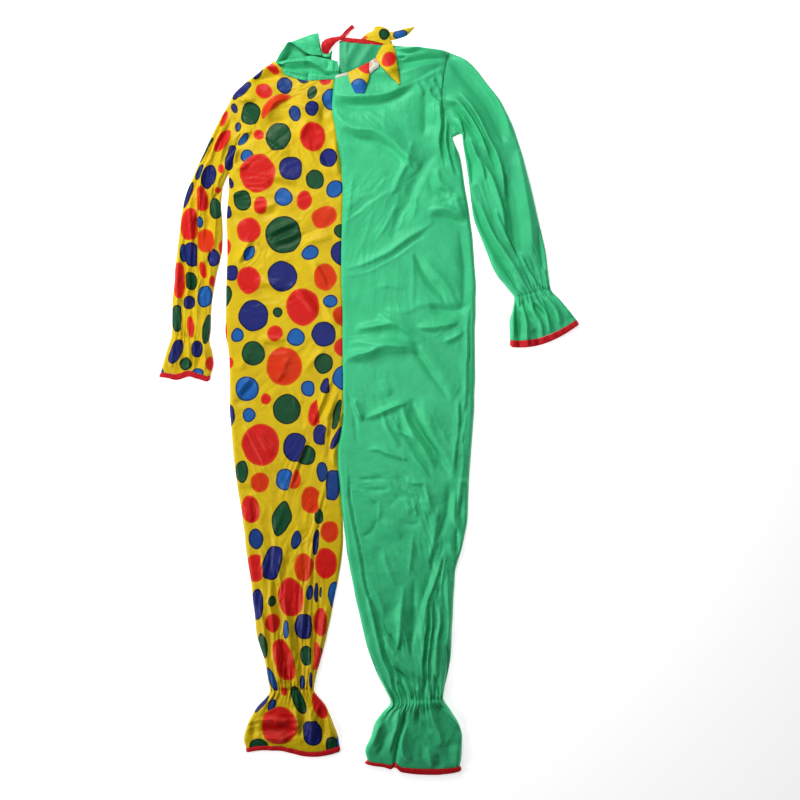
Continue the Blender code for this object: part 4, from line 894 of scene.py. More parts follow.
DOTTED_CREASES = [
    # under the ruffle and across the chest
    (7, 9, 80, (-298, 644), (-270, 676), (-236, 702), (-206, 722)),
    (-8.6, 12, 12, (-246, 682), (-218, 690), (-196, 700)),
    (6.6, 12, 8, (-232, 706), (-205, 712), (-180, 704)), (-9.1, 10, 14, (-80, 640), (-98, 612), (-84, 578)),
    (8.6, 14, 10, (-165, 640), (-120, 622), (-82, 596)), (6.6, 9, 7, (-222, 604), (-204, 630), (-176, 646)),
    (-5.5, 10, 8, (-226, 574), (-208, 594), (-176, 602)),
    (5.5, 10, 8, (-240, 560), (-205, 545), (-170, 520)), (5, 10, 10, (-150, 560), (-140, 580), (-128, 600)),
    (-5, 9, 9, (-110, 548), (-96, 530), (-84, 500)), (5.5, 10, 9, (-76, 560), (-70, 520), (-66, 480)),
    # puckers of the armhole
    (-5.8, 4, 4, (-294, 640), (-280, 618), (-272, 596)), (5.3, 5, 4, (-286, 650), (-268, 640), (-244, 640)),
    (-4.8, 4, 4, (-276, 604), (-282, 586), (-290, 570)), (5.3, 5, 4, (-280, 576), (-266, 572), (-252, 574)),
    (-5.3, 4, 4, (-254, 573), (-268, 556), (-288, 546), (-298, 530)),
    (5.3, 5, 4, (-282, 540), (-286, 520), (-288, 500)), (-5.3, 4, 5, (-292, 530), (-296, 510), (-296, 492)),
    (4.8, 6, 5, (-292, 500), (-276, 496), (-256, 504)), (-4.6, 5, 5, (-298, 468), (-288, 458), (-276, 452)),
    (4.1, 7, 6, (-300, 446), (-286, 440), (-270, 446)),
    # waist and hips
    (-5, 8, 10, (-216, 470), (-192, 462), (-168, 456), (-150, 440)),
    (4.6, 9, 7, (-214, 482), (-186, 476), (-156, 462)), (-3.8, 8, 8, (-238, 396), (-216, 398), (-196, 408)),
    (3.6, 10, 8, (-250, 408), (-220, 414), (-194, 424)),
    (-3.4, 9, 9, (-298, 396), (-276, 392), (-258, 390)),
    (-4.8, 4, 5, (-247, 342), (-256, 322), (-274, 292)), (4.6, 7, 6, (-258, 342), (-268, 318), (-284, 290)),
    (-3.8, 6, 7, (-242, 338), (-226, 326), (-210, 316)), (4.2, 8, 5, (-216, 352), (-186, 368), (-148, 384)),
    (-4.6, 5, 5, (-212, 342), (-182, 357), (-150, 374)), (3.6, 6, 4, (-204, 336), (-176, 345), (-148, 358)),
    (-4.6, 5, 6, (-204, 328), (-176, 334), (-146, 350), (-104, 370)),
    (3.6, 12, 9, (-146, 330), (-116, 342), (-80, 350)), (3.8, 10, 8, (-128, 300), (-104, 276), (-90, 244)),
    (-3.6, 7, 7, (-112, 294), (-98, 268), (-84, 240)), (-3, 10, 10, (-176, 300), (-166, 272), (-170, 244)),
    (-4.2, 9, 11, (-240, 238), (-206, 228), (-176, 220)),
    (3.8, 12, 8, (-250, 254), (-210, 246), (-180, 236)),
    (3.8, 10, 9, (-160, 238), (-136, 214), (-112, 176)), (-4.6, 8, 8, (-136, 240), (-112, 206), (-92, 168)),
    (3.4, 12, 10, (-110, 210), (-86, 184), (-66, 160)),
    (-3.6, 10, 11, (-226, 120), (-200, 112), (-176, 112)),
    (3.4, 12, 9, (-236, 134), (-204, 128), (-176, 128)), (3, 12, 10, (-280, 60), (-258, 100), (-244, 140)),
    (2.6, 12, 10, (-196, 40), (-184, 70), (-168, 96)), (-3.6, 5, 6, (-276, 2), (-262, 18), (-246, 36)),
    (3.4, 9, 7, (-284, 10), (-270, 30), (-254, 46)), (-3, 10, 12, (-290, -8), (-266, -4), (-246, -12)),
    (2.6, 12, 12, (-140, 60), (-120, 84), (-96, 106)), (-3, 10, 10, (-140, -2), (-146, -30), (-140, -60)),
    # folds that spread from the crotch
    (3.4, 6, 3, (-80, 44), (-90, 24), (-98, 0), (-110, -30), (-122, -58)),
    (-3.4, 5, 6, (-74, 40), (-84, 18), (-92, -6), (-106, -36), (-116, -62)),
    (3.2, 7, 5, (-66, 16), (-78, -10), (-90, -44), (-92, -84)),
    (-3, 5, 5, (-62, -6), (-72, -30), (-78, -62)), (3, 4, 3, (-60, -26), (-64, -44), (-62, -60)),
    (-3, 4, 4, (-84, -70), (-88, -96), (-86, -128)), (3.2, 5, 4, (-62, -62), (-72, -84), (-80, -108)),
    (3, 5, 4, (-74, -104), (-76, -124), (-72, -146)), (-3, 4, 4, (-68, -110), (-68, -130), (-66, -150)),
    # thigh
    (2.9, 9, 7, (-268, -56), (-250, -90), (-226, -136)),
    (-3, 7, 7, (-262, -74), (-246, -104), (-226, -140)),
    (2.2, 10, 8, (-236, -60), (-222, -90), (-206, -120)),
    (2.9, 6, 4, (-136, -84), (-144, -112), (-154, -140), (-166, -176), (-176, -200)),
    (-2.6, 5, 5, (-130, -92), (-139, -120), (-150, -146), (-162, -182)),
    (-2, 8, 8, (-226, -148), (-206, -172), (-184, -202)),
    (-2.4, 9, 9, (-284, -190), (-268, -196), (-252, -204)),
    (2, 8, 7, (-282, -176), (-262, -180), (-246, -190)),
    (2.2, 7, 6, (-262, -214), (-256, -240), (-252, -262)),
    (-2.2, 7, 7, (-254, -212), (-248, -240), (-248, -268)),
    (3, 7, 5, (-110, -236), (-118, -262), (-124, -286), (-140, -306), (-166, -322)),
    (-3, 5, 7, (-118, -250), (-126, -282), (-142, -304), (-168, -330)),
    (1.8, 9, 8, (-180, -222), (-190, -256), (-206, -292)),
    (-1.8, 8, 8, (-214, -282), (-210, -312), (-208, -346)),
    (2.4, 8, 8, (-184, -330), (-190, -360), (-196, -400)),
    (-2.2, 9, 9, (-166, -340), (-178, -364), (-184, -392)),
    (2.2, 8, 7, (-236, -320), (-226, -356), (-226, -392)),
    # shin and calf
    (-3.6, 6, 6, (-203, -376), (-201, -420), (-196, -460), (-188, -500)),
    (3.4, 7, 6, (-212, -380), (-211, -430), (-206, -480), (-204, -520)),
    (3.1, 8, 7, (-182, -410), (-178, -450), (-172, -500), (-166, -548)),
    (-3.1, 6, 6, (-190, -506), (-186, -540), (-178, -580), (-172, -620)),
    (3.4, 8, 6, (-202, -530), (-196, -570), (-190, -610)),
    (-2.6, 6, 6, (-130, -396), (-128, -430), (-130, -460)),
    (3, 6, 5, (-139, -400), (-138, -440), (-142, -480), (-144, -520)),
    (-3.1, 5, 5, (-158, -470), (-152, -520), (-146, -570), (-142, -620)),
    (2.6, 7, 7, (-166, -540), (-158, -580), (-154, -616)),
    (2.5, 7, 6, (-236, -440), (-226, -490), (-220, -540), (-214, -590)),
    (-2.5, 6, 6, (-228, -460), (-216, -510), (-210, -560)),
    (2.3, 6, 5, (-92, -440), (-98, -490), (-106, -540)),
    (-2.5, 5, 5, (-106, -394), (-108, -440), (-112, -500), (-120, -570)),
    # ankle frill
    (-5.8, 10, 12, (-236, -700), (-210, -706), (-180, -708), (-150, -714)),
    (4.8, 10, 8, (-228, -684), (-200, -688), (-170, -690)),
    (4.6, 9, 8, (-230, -724), (-200, -728), (-170, -726)),
    (-4.2, 9, 9, (-254, -690), (-246, -706), (-250, -730)),
    (4.2, 8, 8, (-160, -660), (-154, -690), (-160, -720)),
    (-3.8, 7, 7, (-146, -650), (-144, -690), (-150, -730)),
    (4.6, 9, 8, (-128, -660), (-122, -700), (-126, -740)),
    (-4.6, 8, 8, (-104, -660), (-98, -700), (-98, -740)),
    (4.2, 7, 7, (-90, -680), (-84, -710), (-80, -738)),
]
DOTTED_INSEAM = [
    (-82, -150), (-90, -190), (-100, -222), (-110, -280), (-118, -332), (-121, -400), (-122, -470),
    (-121, -540), (-120, -598),
]
DOTTED_GROOVE = (-1.6, 2.6, 2.6, *DOTTED_INSEAM)
DOTTED_RIDGE = (1.8, 4, 3, *((x - 5, y) for x, y in DOTTED_INSEAM))
DOTTED_CRUSHES = [
    (-150, 655, 70, 34, 22, 34, 7, 2.2), (-262, 600, 60, 26, -70, 24, 6, 3),
    (-200, 540, 80, 60, 40, 50, 8, 1.6), (-120, 520, 80, 50, -70, 50, 8, 1.8),
    (-230, 440, 70, 50, 10, 40, 8, 2), (-120, 400, 80, 50, 30, 50, 8, 1.6),
    (-190, 345, 70, 34, 24, 44, 7, 2.4), (-250, 310, 50, 34, 60, 34, 6, 2.4),
    (-120, 240, 80, 44, -54, 44, 7, 2.2), (-210, 220, 80, 50, 12, 50, 8, 2),
    (-200, 110, 80, 50, 6, 44, 8, 1.8), (-110, 110, 80, 40, 40, 50, 8, 1.6),
    (-240, 10, 80, 50, 40, 44, 8, 1.8), (-150, -10, 70, 50, -64, 44, 8, 1.8),
    (-82, -40, 90, 24, 76, 40, 6, 2.6), (-240, -110, 90, 44, -58, 50, 7, 2.2),
    (-150, -140, 90, 40, 72, 50, 6, 2.6), (-230, -240, 90, 40, -80, 50, 7, 2),
    (-140, -280, 80, 40, 60, 50, 7, 2.2), (-200, -420, 120, 34, -86, 60, 7, 3),
    (-130, -440, 120, 36, 88, 60, 7, 2.8), (-170, -560, 90, 44, -84, 60, 7, 3),
    (-200, -710, 60, 50, 10, 40, 9, 3), (-110, -700, 50, 44, 78, 40, 8, 2.6),
]

dotted_x, dotted_y, dotted_z = front_panel(
    DOTTED_FRONT, DOTTED_COLUMNS, DOTTED_CREASES + [DOTTED_GROOVE, DOTTED_RIDGE], DOTTED_CRUSHES,
    DOTTED_ANKLE, seed=140
)

# The print, as it shows on the front: place and half-widths of each dot in millimetres, its turn
# in degrees, and its form: 2 is round, less is pointed like a leaf and more is blunt. A fold
# hides what lies further than fold_at from its middle, towards fold_turn.
Dot = namedtuple("Dot", "ink x y across high turn form fold_turn fold_at", defaults=(0, 2.0, 0, 99))
DOT_WOBBLE = 1.6         # how far small creases shift the outline of a dot


def dots(**inks):
    """Dots from rows that are sorted by ink."""
    return [Dot(ink, *row) for ink, rows in inks.items() for row in rows]


DOTS = dots(
    pine=[
        (-122, 659, 11, 16, -25, 1.7), (-255, 613, 20, 23, -20, 2.6), (-195, 565, 27.5, 31.5, -12),
        (-116, 473, 20, 21.5), (-272, 428, 19, 22, 16), (-184, 354, 39, 41), (-60, 362, 15, 15),
        (-307, 222, 12, 24, -12), (-196, 188, 10.5, 11), (-249, 99, 25.5, 26.5), (-98, 77, 20, 21.5),
        (-177, -21, 30, 33), (-69, -32, 8, 33, -14, 2.4), (-136, -119, 21, 22, 0, 2.3, 158, 10),
        (-273, -155, 15, 25), (-188, -256, 22, 40, -14, 1.5), (-108, -252, 10, 17), (-103, -414, 3, 12),
        (-208, -433, 8, 11), (-228, -528, 10, 26, 10), (-134, -550, 15, 22, 0, 2.1, 0, 11),
        (-151, -645, 12, 32, 24, 2.4), (-237, -745, 21, 18), (-81, -741, 13, 20),
    ],
    blue=[
        (-78, 645, 23, 23), (-270, 558, 17, 7, 45), (-262, 523, 14, 14), (-74, 452, 17, 21, -32),
        (-184, 435, 19.5, 20.5), (-256, 314, 11, 19, -28, 1.7), (-126, 316, 19, 16, 20),
        (-83, 212, 15.5, 14.5), (-157, 134, 19, 19.5), (-283, 138, 14, 15), (-53, 47, 26, 26),
        (-262, 23, 25, 27), (-131, 23, 15.5, 17), (-258, -33, 14.5, 15),
        (-181, -172, 19, 24, 0, 2.1, -17, 14), (-74, -421, 14, 29), (-177, -493, 7, 20),
        (-207, -600, 8, 28, 20), (-67, -736, 5, 14),
    ],
    blue_navy=[
        (-181, 675, 17, 18.5), (-159, 615, 13, 17.5, 15), (-281, 585, 7.5, 11), (-100, -155, 13, 22),
        (-77, -184, 15, 32, -6, 4), (-243, -299, 15, 21.5), (-156, -302, 11, 21, -14, 1.8),
        (-127, -415, 8, 17), (-143, -607, 6.5, 15), (-208, -656, 8, 14, -30),
    ],
    navy=[
        (-236, 697, 5, 15, -38), (-140, 695, 17, 15), (-122, 624, 15, 16.5), (-272, 661, 26, 9, 38, 2.4),
        (-290, 627, 7, 11, 10), (-298, 520, 9, 28, -12, 3), (-168, 496, 25, 25.5, 0, 2.5),
        (-87, 519, 19, 21), (-297, 465, 5, 13, 10), (-302, 402, 7, 14), (-56, 315, 27, 27),
        (-295, 272, 15, 17, 0, 2.5), (-186, 265, 32, 33.5), (-248, 180, 32, 33.5), (-97, 140, 26, 27.5),
        (-91, 30, 13, 17, -16, 2.2, 4, 6), (-302, -35, 15, 25), (-69, -82, 8, 28, -28, 2.4),
        (-158, -103, 26, 31, 0, 2.2, -22, 16.5), (-104, -76, 16, 23, 0, 2.1, -8, 11),
        (-114, -307, 7, 28, -6), (-207, -351, 20, 37, -14, 2.8), (-113, -415, 5, 22), (-240, -441, 14, 34),
        (-140, -487, 20, 28, 0, 2.4, 0, 17), (-103, -548, 4, 14), (-124, -602, 4, 17), (-107, -634, 5, 6),
        (-230, -654, 6, 24, -42), (-121, -716, 20, 29, 12, 2.5),
    ],
    scarlet=[
        (-199, 628, 39, 22, 38, 1.9, -50, 3), (-96, 392, 28, 23, 28), (-94, 263, 25, 29),
        (-56, 180, 22, 22), (-182, 71, 39, 42), (-234, -178, 20, 21.5), (-162, -171, 17, 21, 0, 2, 163, 4),
        (-125, -216, 21, 30, 4, 2, -3, 17), (-85, -284, 20, 24), (-140, -360, 21, 31),
    ],
    red=[
        (-206, 710, 17, 9, -32), (-225, 661, 18, 17.5), (-94, 690, 14, 15), (-237, 568, 11.5, 11.5),
        (-121, 564, 28, 31.5), (-239, 486, 38, 42, -14), (-232, 417, 15, 19, 0, 2.4), (-139, 428, 17, 21),
        (-258, 364, 26, 27.5), (-309, 327, 13, 20), (-258, 256, 25.5, 29.5), (-142, 199, 36, 40),
        (-202, 142, 17, 18.5), (-309, 143, 5, 22), (-55, 112, 21, 21), (-304, 78, 12, 14),
        (-222, 1, 11, 12.5), (-113, -28, 17, 30, -14, 1.9, 8, 5), (-232, -97, 41, 45),
        (-255, -236, 20, 30, 8), (-243, -362, 22, 31, 0, 2.2, 6, 14), (-93, -352, 24, 34),
        (-168, -424, 28, 42, 6), (-207, -480, 16, 21), (-104, -478, 16, 31), (-182, -559, 20, 46, 16, 2.6),
        (-116, -551, 14, 30, 0, 2.4, 178, 2), (-182, -626, 6.5, 10), (-107, -658, 13, 30, 20, 2.4),
        (-83, -668, 4, 16), (-192, -700, 39, 41),
    ],
)
Ink = namedtuple("Ink", "colour rim")
INKS = {
    "pine": Ink((0.005, 0.075, 0.027), (0.004, 0.022, 0.012)),
    "blue": Ink((0.008, 0.115, 0.420), (0.006, 0.030, 0.120)),
    "blue_navy": Ink((0.008, 0.050, 0.240), (0.005, 0.016, 0.070)),
    "navy": Ink((0.010, 0.018, 0.175), (0.005, 0.007, 0.045)),
    "scarlet": Ink((0.680, 0.031, 0.002), (0.700, 0.080, 0.002)),
    "red": Ink((0.660, 0.008, 0.008), (0.700, 0.050, 0.004)),
}
INK_SPAN = 6.0           # how far from a dot's edge its depth is still noted
RIM_FROM, RIM_TO = 2.2, 4.4      # depths between which the rim turns to the ink's own colour


def ink_depths(x, y, dots):
    """For each ink, how far inside its nearest dot a place lies, in millimetres, less outside.

    A dot is a rounded form with the given half-widths. Its depth is one less the form's own
    measure, divided by how fast that measure grows, and no more than the distance to its fold.
    """
    depths = {ink: np.full(x.shape, -INK_SPAN) for ink in INKS}
    x, y = x + DOT_WOBBLE * rumple(x, y, 17, 7), y + DOT_WOBBLE * rumple(x, y, 17, 8)
    for dot in dots:
        reach = max(dot.across, dot.high) + INK_SPAN
        near = (np.abs(x - dot.x) < reach) & (np.abs(y - dot.y) < reach)
        turn, fold_turn = np.radians(dot.turn), np.radians(dot.fold_turn)
        dx, dy = x[near] - dot.x, y[near] - dot.y
        a = np.abs(dx * np.cos(turn) + dy * np.sin(turn)) / dot.across + 1e-4
        b = np.abs(dy * np.cos(turn) - dx * np.sin(turn)) / dot.high + 1e-4
        size = (a**dot.form + b**dot.form) ** (1 / dot.form)
        growth = size ** (1 - dot.form) * np.hypot(
            a ** (dot.form - 1) / dot.across, b ** (dot.form - 1) / dot.high
        )
        depth = (1 - size) / np.maximum(growth, 0.6 / max(dot.across, dot.high))
        depth = np.minimum(depth, dot.fold_at - dx * np.cos(fold_turn) - dy * np.sin(fold_turn))
        depths[dot.ink][near] = np.maximum(depths[dot.ink][near], np.clip(depth, -INK_SPAN, INK_SPAN))
    return depths


def print_dots(piece, depths):
    """Notes the depth of each ink at each point of the mesh, for the material to read."""
    for ink, depth in depths.items():
        note = piece.data.attributes.new(f"{ink}_depth", "FLOAT", "POINT")
        note.data.foreach_set("value", depth.astype(np.float32).ravel())


def printed(material, strength):
    """Lays the inks on a satin, one over the other, each with the rim where it has run."""
    tree = material.node_tree
    base = tree.nodes["Principled BSDF"].inputs["Base Color"]
    under = base.links[0].from_socket
    for name, ink in INKS.items():
        depth = node(tree, "Attribute", {}, attribute_name=f"{name}_depth").outputs["Fac"]
        edge = {"From Min": -0.5, "From Max": 0.5, "To Max": strength}
        cover = node(tree, "MapRange", {"Value": depth, **edge})
        rim = node(tree, "MapRange", {"Value": depth, "From Min": RIM_FROM, "From Max": RIM_TO})
        tone = blend(tree, rim.outputs["Result"], (*ink.rim, 1.0), (*ink.colour, 1.0))
        under = blend(tree, cover.outputs["Result"], under, tone)
    tree.links.new(under, base)
    return material


YELLOW = (0.72, 0.515, 0.006)
YELLOW_SHADE = (0.65, 0.425, 0.005)
DOTTED_GLOSS, YELLOW_GLINT = 0.24, (1.0, 0.95, 0.75)
dotted_satin = printed(satin("dotted_satin", YELLOW, YELLOW_SHADE, DOTTED_GLOSS, YELLOW_GLINT), 1.0)
PALE = (0.66, 0.70, 0.60)
PALE_SHADE = (0.58, 0.60, 0.50)
PALE_GLINT = (1.0, 1.0, 0.95)
SHOW_THROUGH = 0.45      # how much of the print shows on the reverse
dotted_reverse = printed(satin("dotted_reverse", PALE, PALE_SHADE, DOTTED_GLOSS, PALE_GLINT), SHOW_THROUGH)

front_dotted = cloth_mesh(
    "front_dotted_satin", dotted_x, dotted_y, dotted_z, [dotted_satin, dotted_reverse], SATIN_WALL
)
print_dots(front_dotted, ink_depths(dotted_x, dotted_y, DOTS))
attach(front_dotted, "root")
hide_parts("front_dotted")

# ---- Back of the dotted half ----------------------------------------------------------------
# The same printed satin, cut as the front is but higher at the neck. Its print is on the side that
# lies on the table, and its pale reverse is inside.

DOTTED_BACK_NECK = [617.0, 650.0, 678.0, 710.0, 744.0]
DOTTED_BACK_BOW = -9.0
x, y, z = back_panel(DOTTED_FRONT, -1, DOTTED_BACK_NECK, DOTTED_BACK_BOW, [])
back_dotted = cloth_mesh(
    "back_dotted_satin", x, y, z, [dotted_satin, dotted_reverse], BACK_WALL, face_up=False
)
PRINT_MIDDLE = (-180.0, -20.0)    # the back is cut from further along the same cloth, turned round
print_dots(back_dotted, ink_depths(2 * PRINT_MIDDLE[0] - x, 2 * PRINT_MIDDLE[1] - y, DOTS))
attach(back_dotted, "root")
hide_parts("back_dotted")

# ---- Sleeve of the dotted half --------------------------------------------------------------
# The same printed satin, folded round the arm and gathered above the cuff as the green one is. Two
# long folds run down it and hide parts of dots.

DOTTED_SLEEVE = [
    (-298, 642, -301, 487, 0, 6), (-327, 592, -309, 472, 0, 6), (-351, 542, -317, 450, 0, 6.5),
    (-375, 488, -318, 420, 0, 6.5), (-400, 418, -315, 380, 0, 6.5), (-411, 340, -317, 325, 0, 6.5),
    (-418, 268, -330, 262, 0, 6.5), (-423, 203, -339, 198, 0, 7), (-424, 160, -341, 150, 0, 7.5),
    (-425, 140, -344, 128, 0, 6.5), (-434, 108, -338, 104, 0, 7.5), (-443, 80, -334, 78, -1, 8),
    (-449, 57, -341, 53, 3, 7.5),
]
DOTTED_WRIST = Elastic(9, 16, 5.0, 46, 30, 53)
DOTTED_SLEEVE_CREASES = [
    (-6, 3, 5, (-300, 630), (-331, 558), (-360, 494), (-377, 450), (-392, 408)),
    (-5, 2.6, 4, (-367, 472), (-365, 413), (-372, 375), (-378, 321), (-381, 273), (-376, 214), (-373, 160)),
    (-4, 3, 4, (-308, 470), (-322, 446), (-342, 424), (-352, 392)),
    (-4, 3, 4, (-338, 330), (-346, 292), (-352, 262), (-352, 236)),
    (3.2, 6, 4, (-300, 520), (-312, 490), (-322, 470), (-330, 440)),
    (3.6, 8, 4, (-304, 600), (-334, 530), (-352, 492), (-362, 452), (-368, 400)),
    (4, 8, 4, (-330, 430), (-328, 390), (-330, 350), (-336, 306)),
    (-3.6, 4, 5, (-345, 470), (-342, 420), (-348, 380), (-352, 340)),
    (3.9, 7, 6, (-304, 610), (-326, 560), (-338, 520)),
    (-3.9, 5, 5, (-296, 604), (-304, 580), (-318, 560), (-326, 536)),
    (3.6, 6, 5, (-296, 570), (-312, 540), (-322, 500)),
    (-4.5, 5, 5, (-352, 540), (-364, 500), (-370, 450), (-372, 400)),
    (5.1, 7, 5, (-346, 520), (-358, 470), (-364, 410), (-366, 350)),
    (4.5, 6, 5, (-378, 460), (-384, 400), (-380, 340), (-376, 290)),
    (-4.8, 4, 5, (-371, 400), (-370, 340), (-366, 290), (-364, 250)),
    (4.2, 7, 6, (-334, 470), (-340, 420), (-346, 370)), (-3.6, 6, 6, (-346, 440), (-348, 400), (-340, 360)),
    (-3.9, 5, 5, (-394, 350), (-398, 300), (-397, 250), (-399, 200)),
    (3.9, 6, 5, (-404, 330), (-408, 280), (-410, 230), (-411, 180)),
    (3.9, 6, 5, (-390, 290), (-388, 240), (-390, 190)), (-3.6, 5, 5, (-350, 300), (-352, 262), (-362, 222)),
    (3.6, 6, 5, (-342, 310), (-340, 270), (-346, 230)), (3.3, 6, 6, (-366, 240), (-370, 200), (-368, 170)),
    (-3.3, 5, 5, (-378, 220), (-380, 190), (-376, 160)), (-3.9, 5, 5, (-402, 128), (-398, 100), (-402, 70)),
    (4.2, 7, 6, (-414, 130), (-420, 100), (-424, 66)), (4.2, 7, 6, (-386, 126), (-384, 96), (-388, 64)),
    (-3.9, 6, 6, (-366, 122), (-364, 96), (-370, 64)), (3.9, 7, 6, (-354, 118), (-350, 92), (-352, 62)),
]
DOTTED_SLEEVE_CRUSHES = [
    (-318, 560, 70, 26, 66, 40, 6, 2.6), (-345, 440, 90, 30, 84, 50, 6, 3),
    (-385, 380, 100, 26, 88, 60, 6, 2.6), (-375, 250, 100, 44, 86, 60, 7, 2.8),
    (-390, 100, 44, 60, 88, 36, 7, 2.8),
]
SLEEVE_DOTS = dots(
    pine=[
        (-350, 536, 4, 30, -28, 3), (-330, 409, 13, 24, 8), (-382, 254, 14, 19, 8, 2.1, 180, 11),
        (-411, 174, 13, 28, 0, 2.6, 0, 9), (-348, 150, 9, 32, -8), (-393, 77, 14, 14),
    ],
    blue=[
        (-363, 381, 8, 12), (-352, 221, 16, 24, 0, 2.3), (-447, 60, 8, 8), (-367, 57, 13, 11),
    ],
    blue_navy=[
        (-364, 489, 18, 6, 68), (-399, 315, 8, 19),
    ],
    navy=[
        (-343, 478, 15, 27, -18), (-388, 440, 30, 6, 72), (-381, 311, 17, 26, 8, 2.4, 0, 12),
        (-334, 304, 14, 19), (-386, 208, 13.5, 14.5), (-414, 102, 12, 28, -22, 2.3), (-369, 109, 13, 18),
    ],
    scarlet=[
        (-351, 341, 21, 25, 14, 2.2, 180, 17),
    ],
    red=[
        (-311, 602, 6, 19, -20), (-314, 555, 28, 12, 58), (-317, 495, 6, 11),
        (-360, 430, 15, 27, 8, 2.3, 184, 9), (-324, 450, 6.5, 6), (-384, 377, 20, 35, -6, 2.3, 0, 15),
        (-408, 255, 13, 39, 0, 2.5), (-357, 279, 8, 19, 10), (-336, 254, 7, 12), (-382, 156, 8, 23, 6),
        (-341, 77, 10, 16),
    ],
)
dotted_hole = armhole(dotted_x, dotted_y, dotted_z, DOTTED_FRONT, DOTTED_ARMPIT, DOTTED_SHOULDER, -0.05)
dotted_sleeve_x, dotted_sleeve_y, dotted_sleeve_z = sleeve_tube(
    dotted_hole, DOTTED_SLEEVE, SLEEVE_ACROSS, DOTTED_WRIST, DOTTED_SLEEVE_CREASES,
    DOTTED_SLEEVE_CRUSHES, seed=160
)
sleeve_dotted = cloth_mesh(
    "sleeve_dotted_satin", dotted_sleeve_x, dotted_sleeve_y, dotted_sleeve_z,
    [dotted_satin, dotted_reverse], SATIN_WALL, ring=True
)
UNDERSIDE_SHIFT = 130    # how far along the same print the side below is cut
on_top = dotted_sleeve_z > ON_TABLE
print_x = np.where(on_top, dotted_sleeve_x, dotted_sleeve_x + UNDERSIDE_SHIFT)
print_dots(sleeve_dotted, ink_depths(print_x, dotted_sleeve_y, SLEEVE_DOTS + DOTS))
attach(sleeve_dotted, "root")
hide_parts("sleeve_dotted")

# ---- Red binding of the dotted half ---------------------------------------------------------
# The same bias tape as on the green half, folded over the raw edges of the ankle frill and the cuff
# and stitched down.

DOTTED_ANKLE_HEM = Hem(-265, -760, -60, -757, -3, 8)
DOTTED_CUFF_HEM = Hem(-453, 47, -342, 42, 1, 0)
dotted_hem = close_below(dotted_x[0], dotted_y[0], dotted_z[0])
ankle_binding_dotted = binding_band(
    "ankle_binding_dotted_tape", *dotted_hem, DOTTED_COLUMNS, DOTTED_ANKLE_HEM, red_tape
)
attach(ankle_binding_dotted, "root")
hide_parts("ankle_binding_dotted")
cuff_binding_dotted = binding_band(
    "cuff_binding_dotted_tape", dotted_sleeve_x[-1], dotted_sleeve_y[-1], dotted_sleeve_z[-1],
    SLEEVE_ACROSS, DOTTED_CUFF_HEM, red_tape
)
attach(cuff_binding_dotted, "root")
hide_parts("cuff_binding_dotted")

# ---- Ruffle of the dotted half --------------------------------------------------------------
# A gathered strip of green satin sewn round the dotted half of the neck. At the back it stands
# up and turns over on itself. At the front it lies in two ridges with a hollow between them.

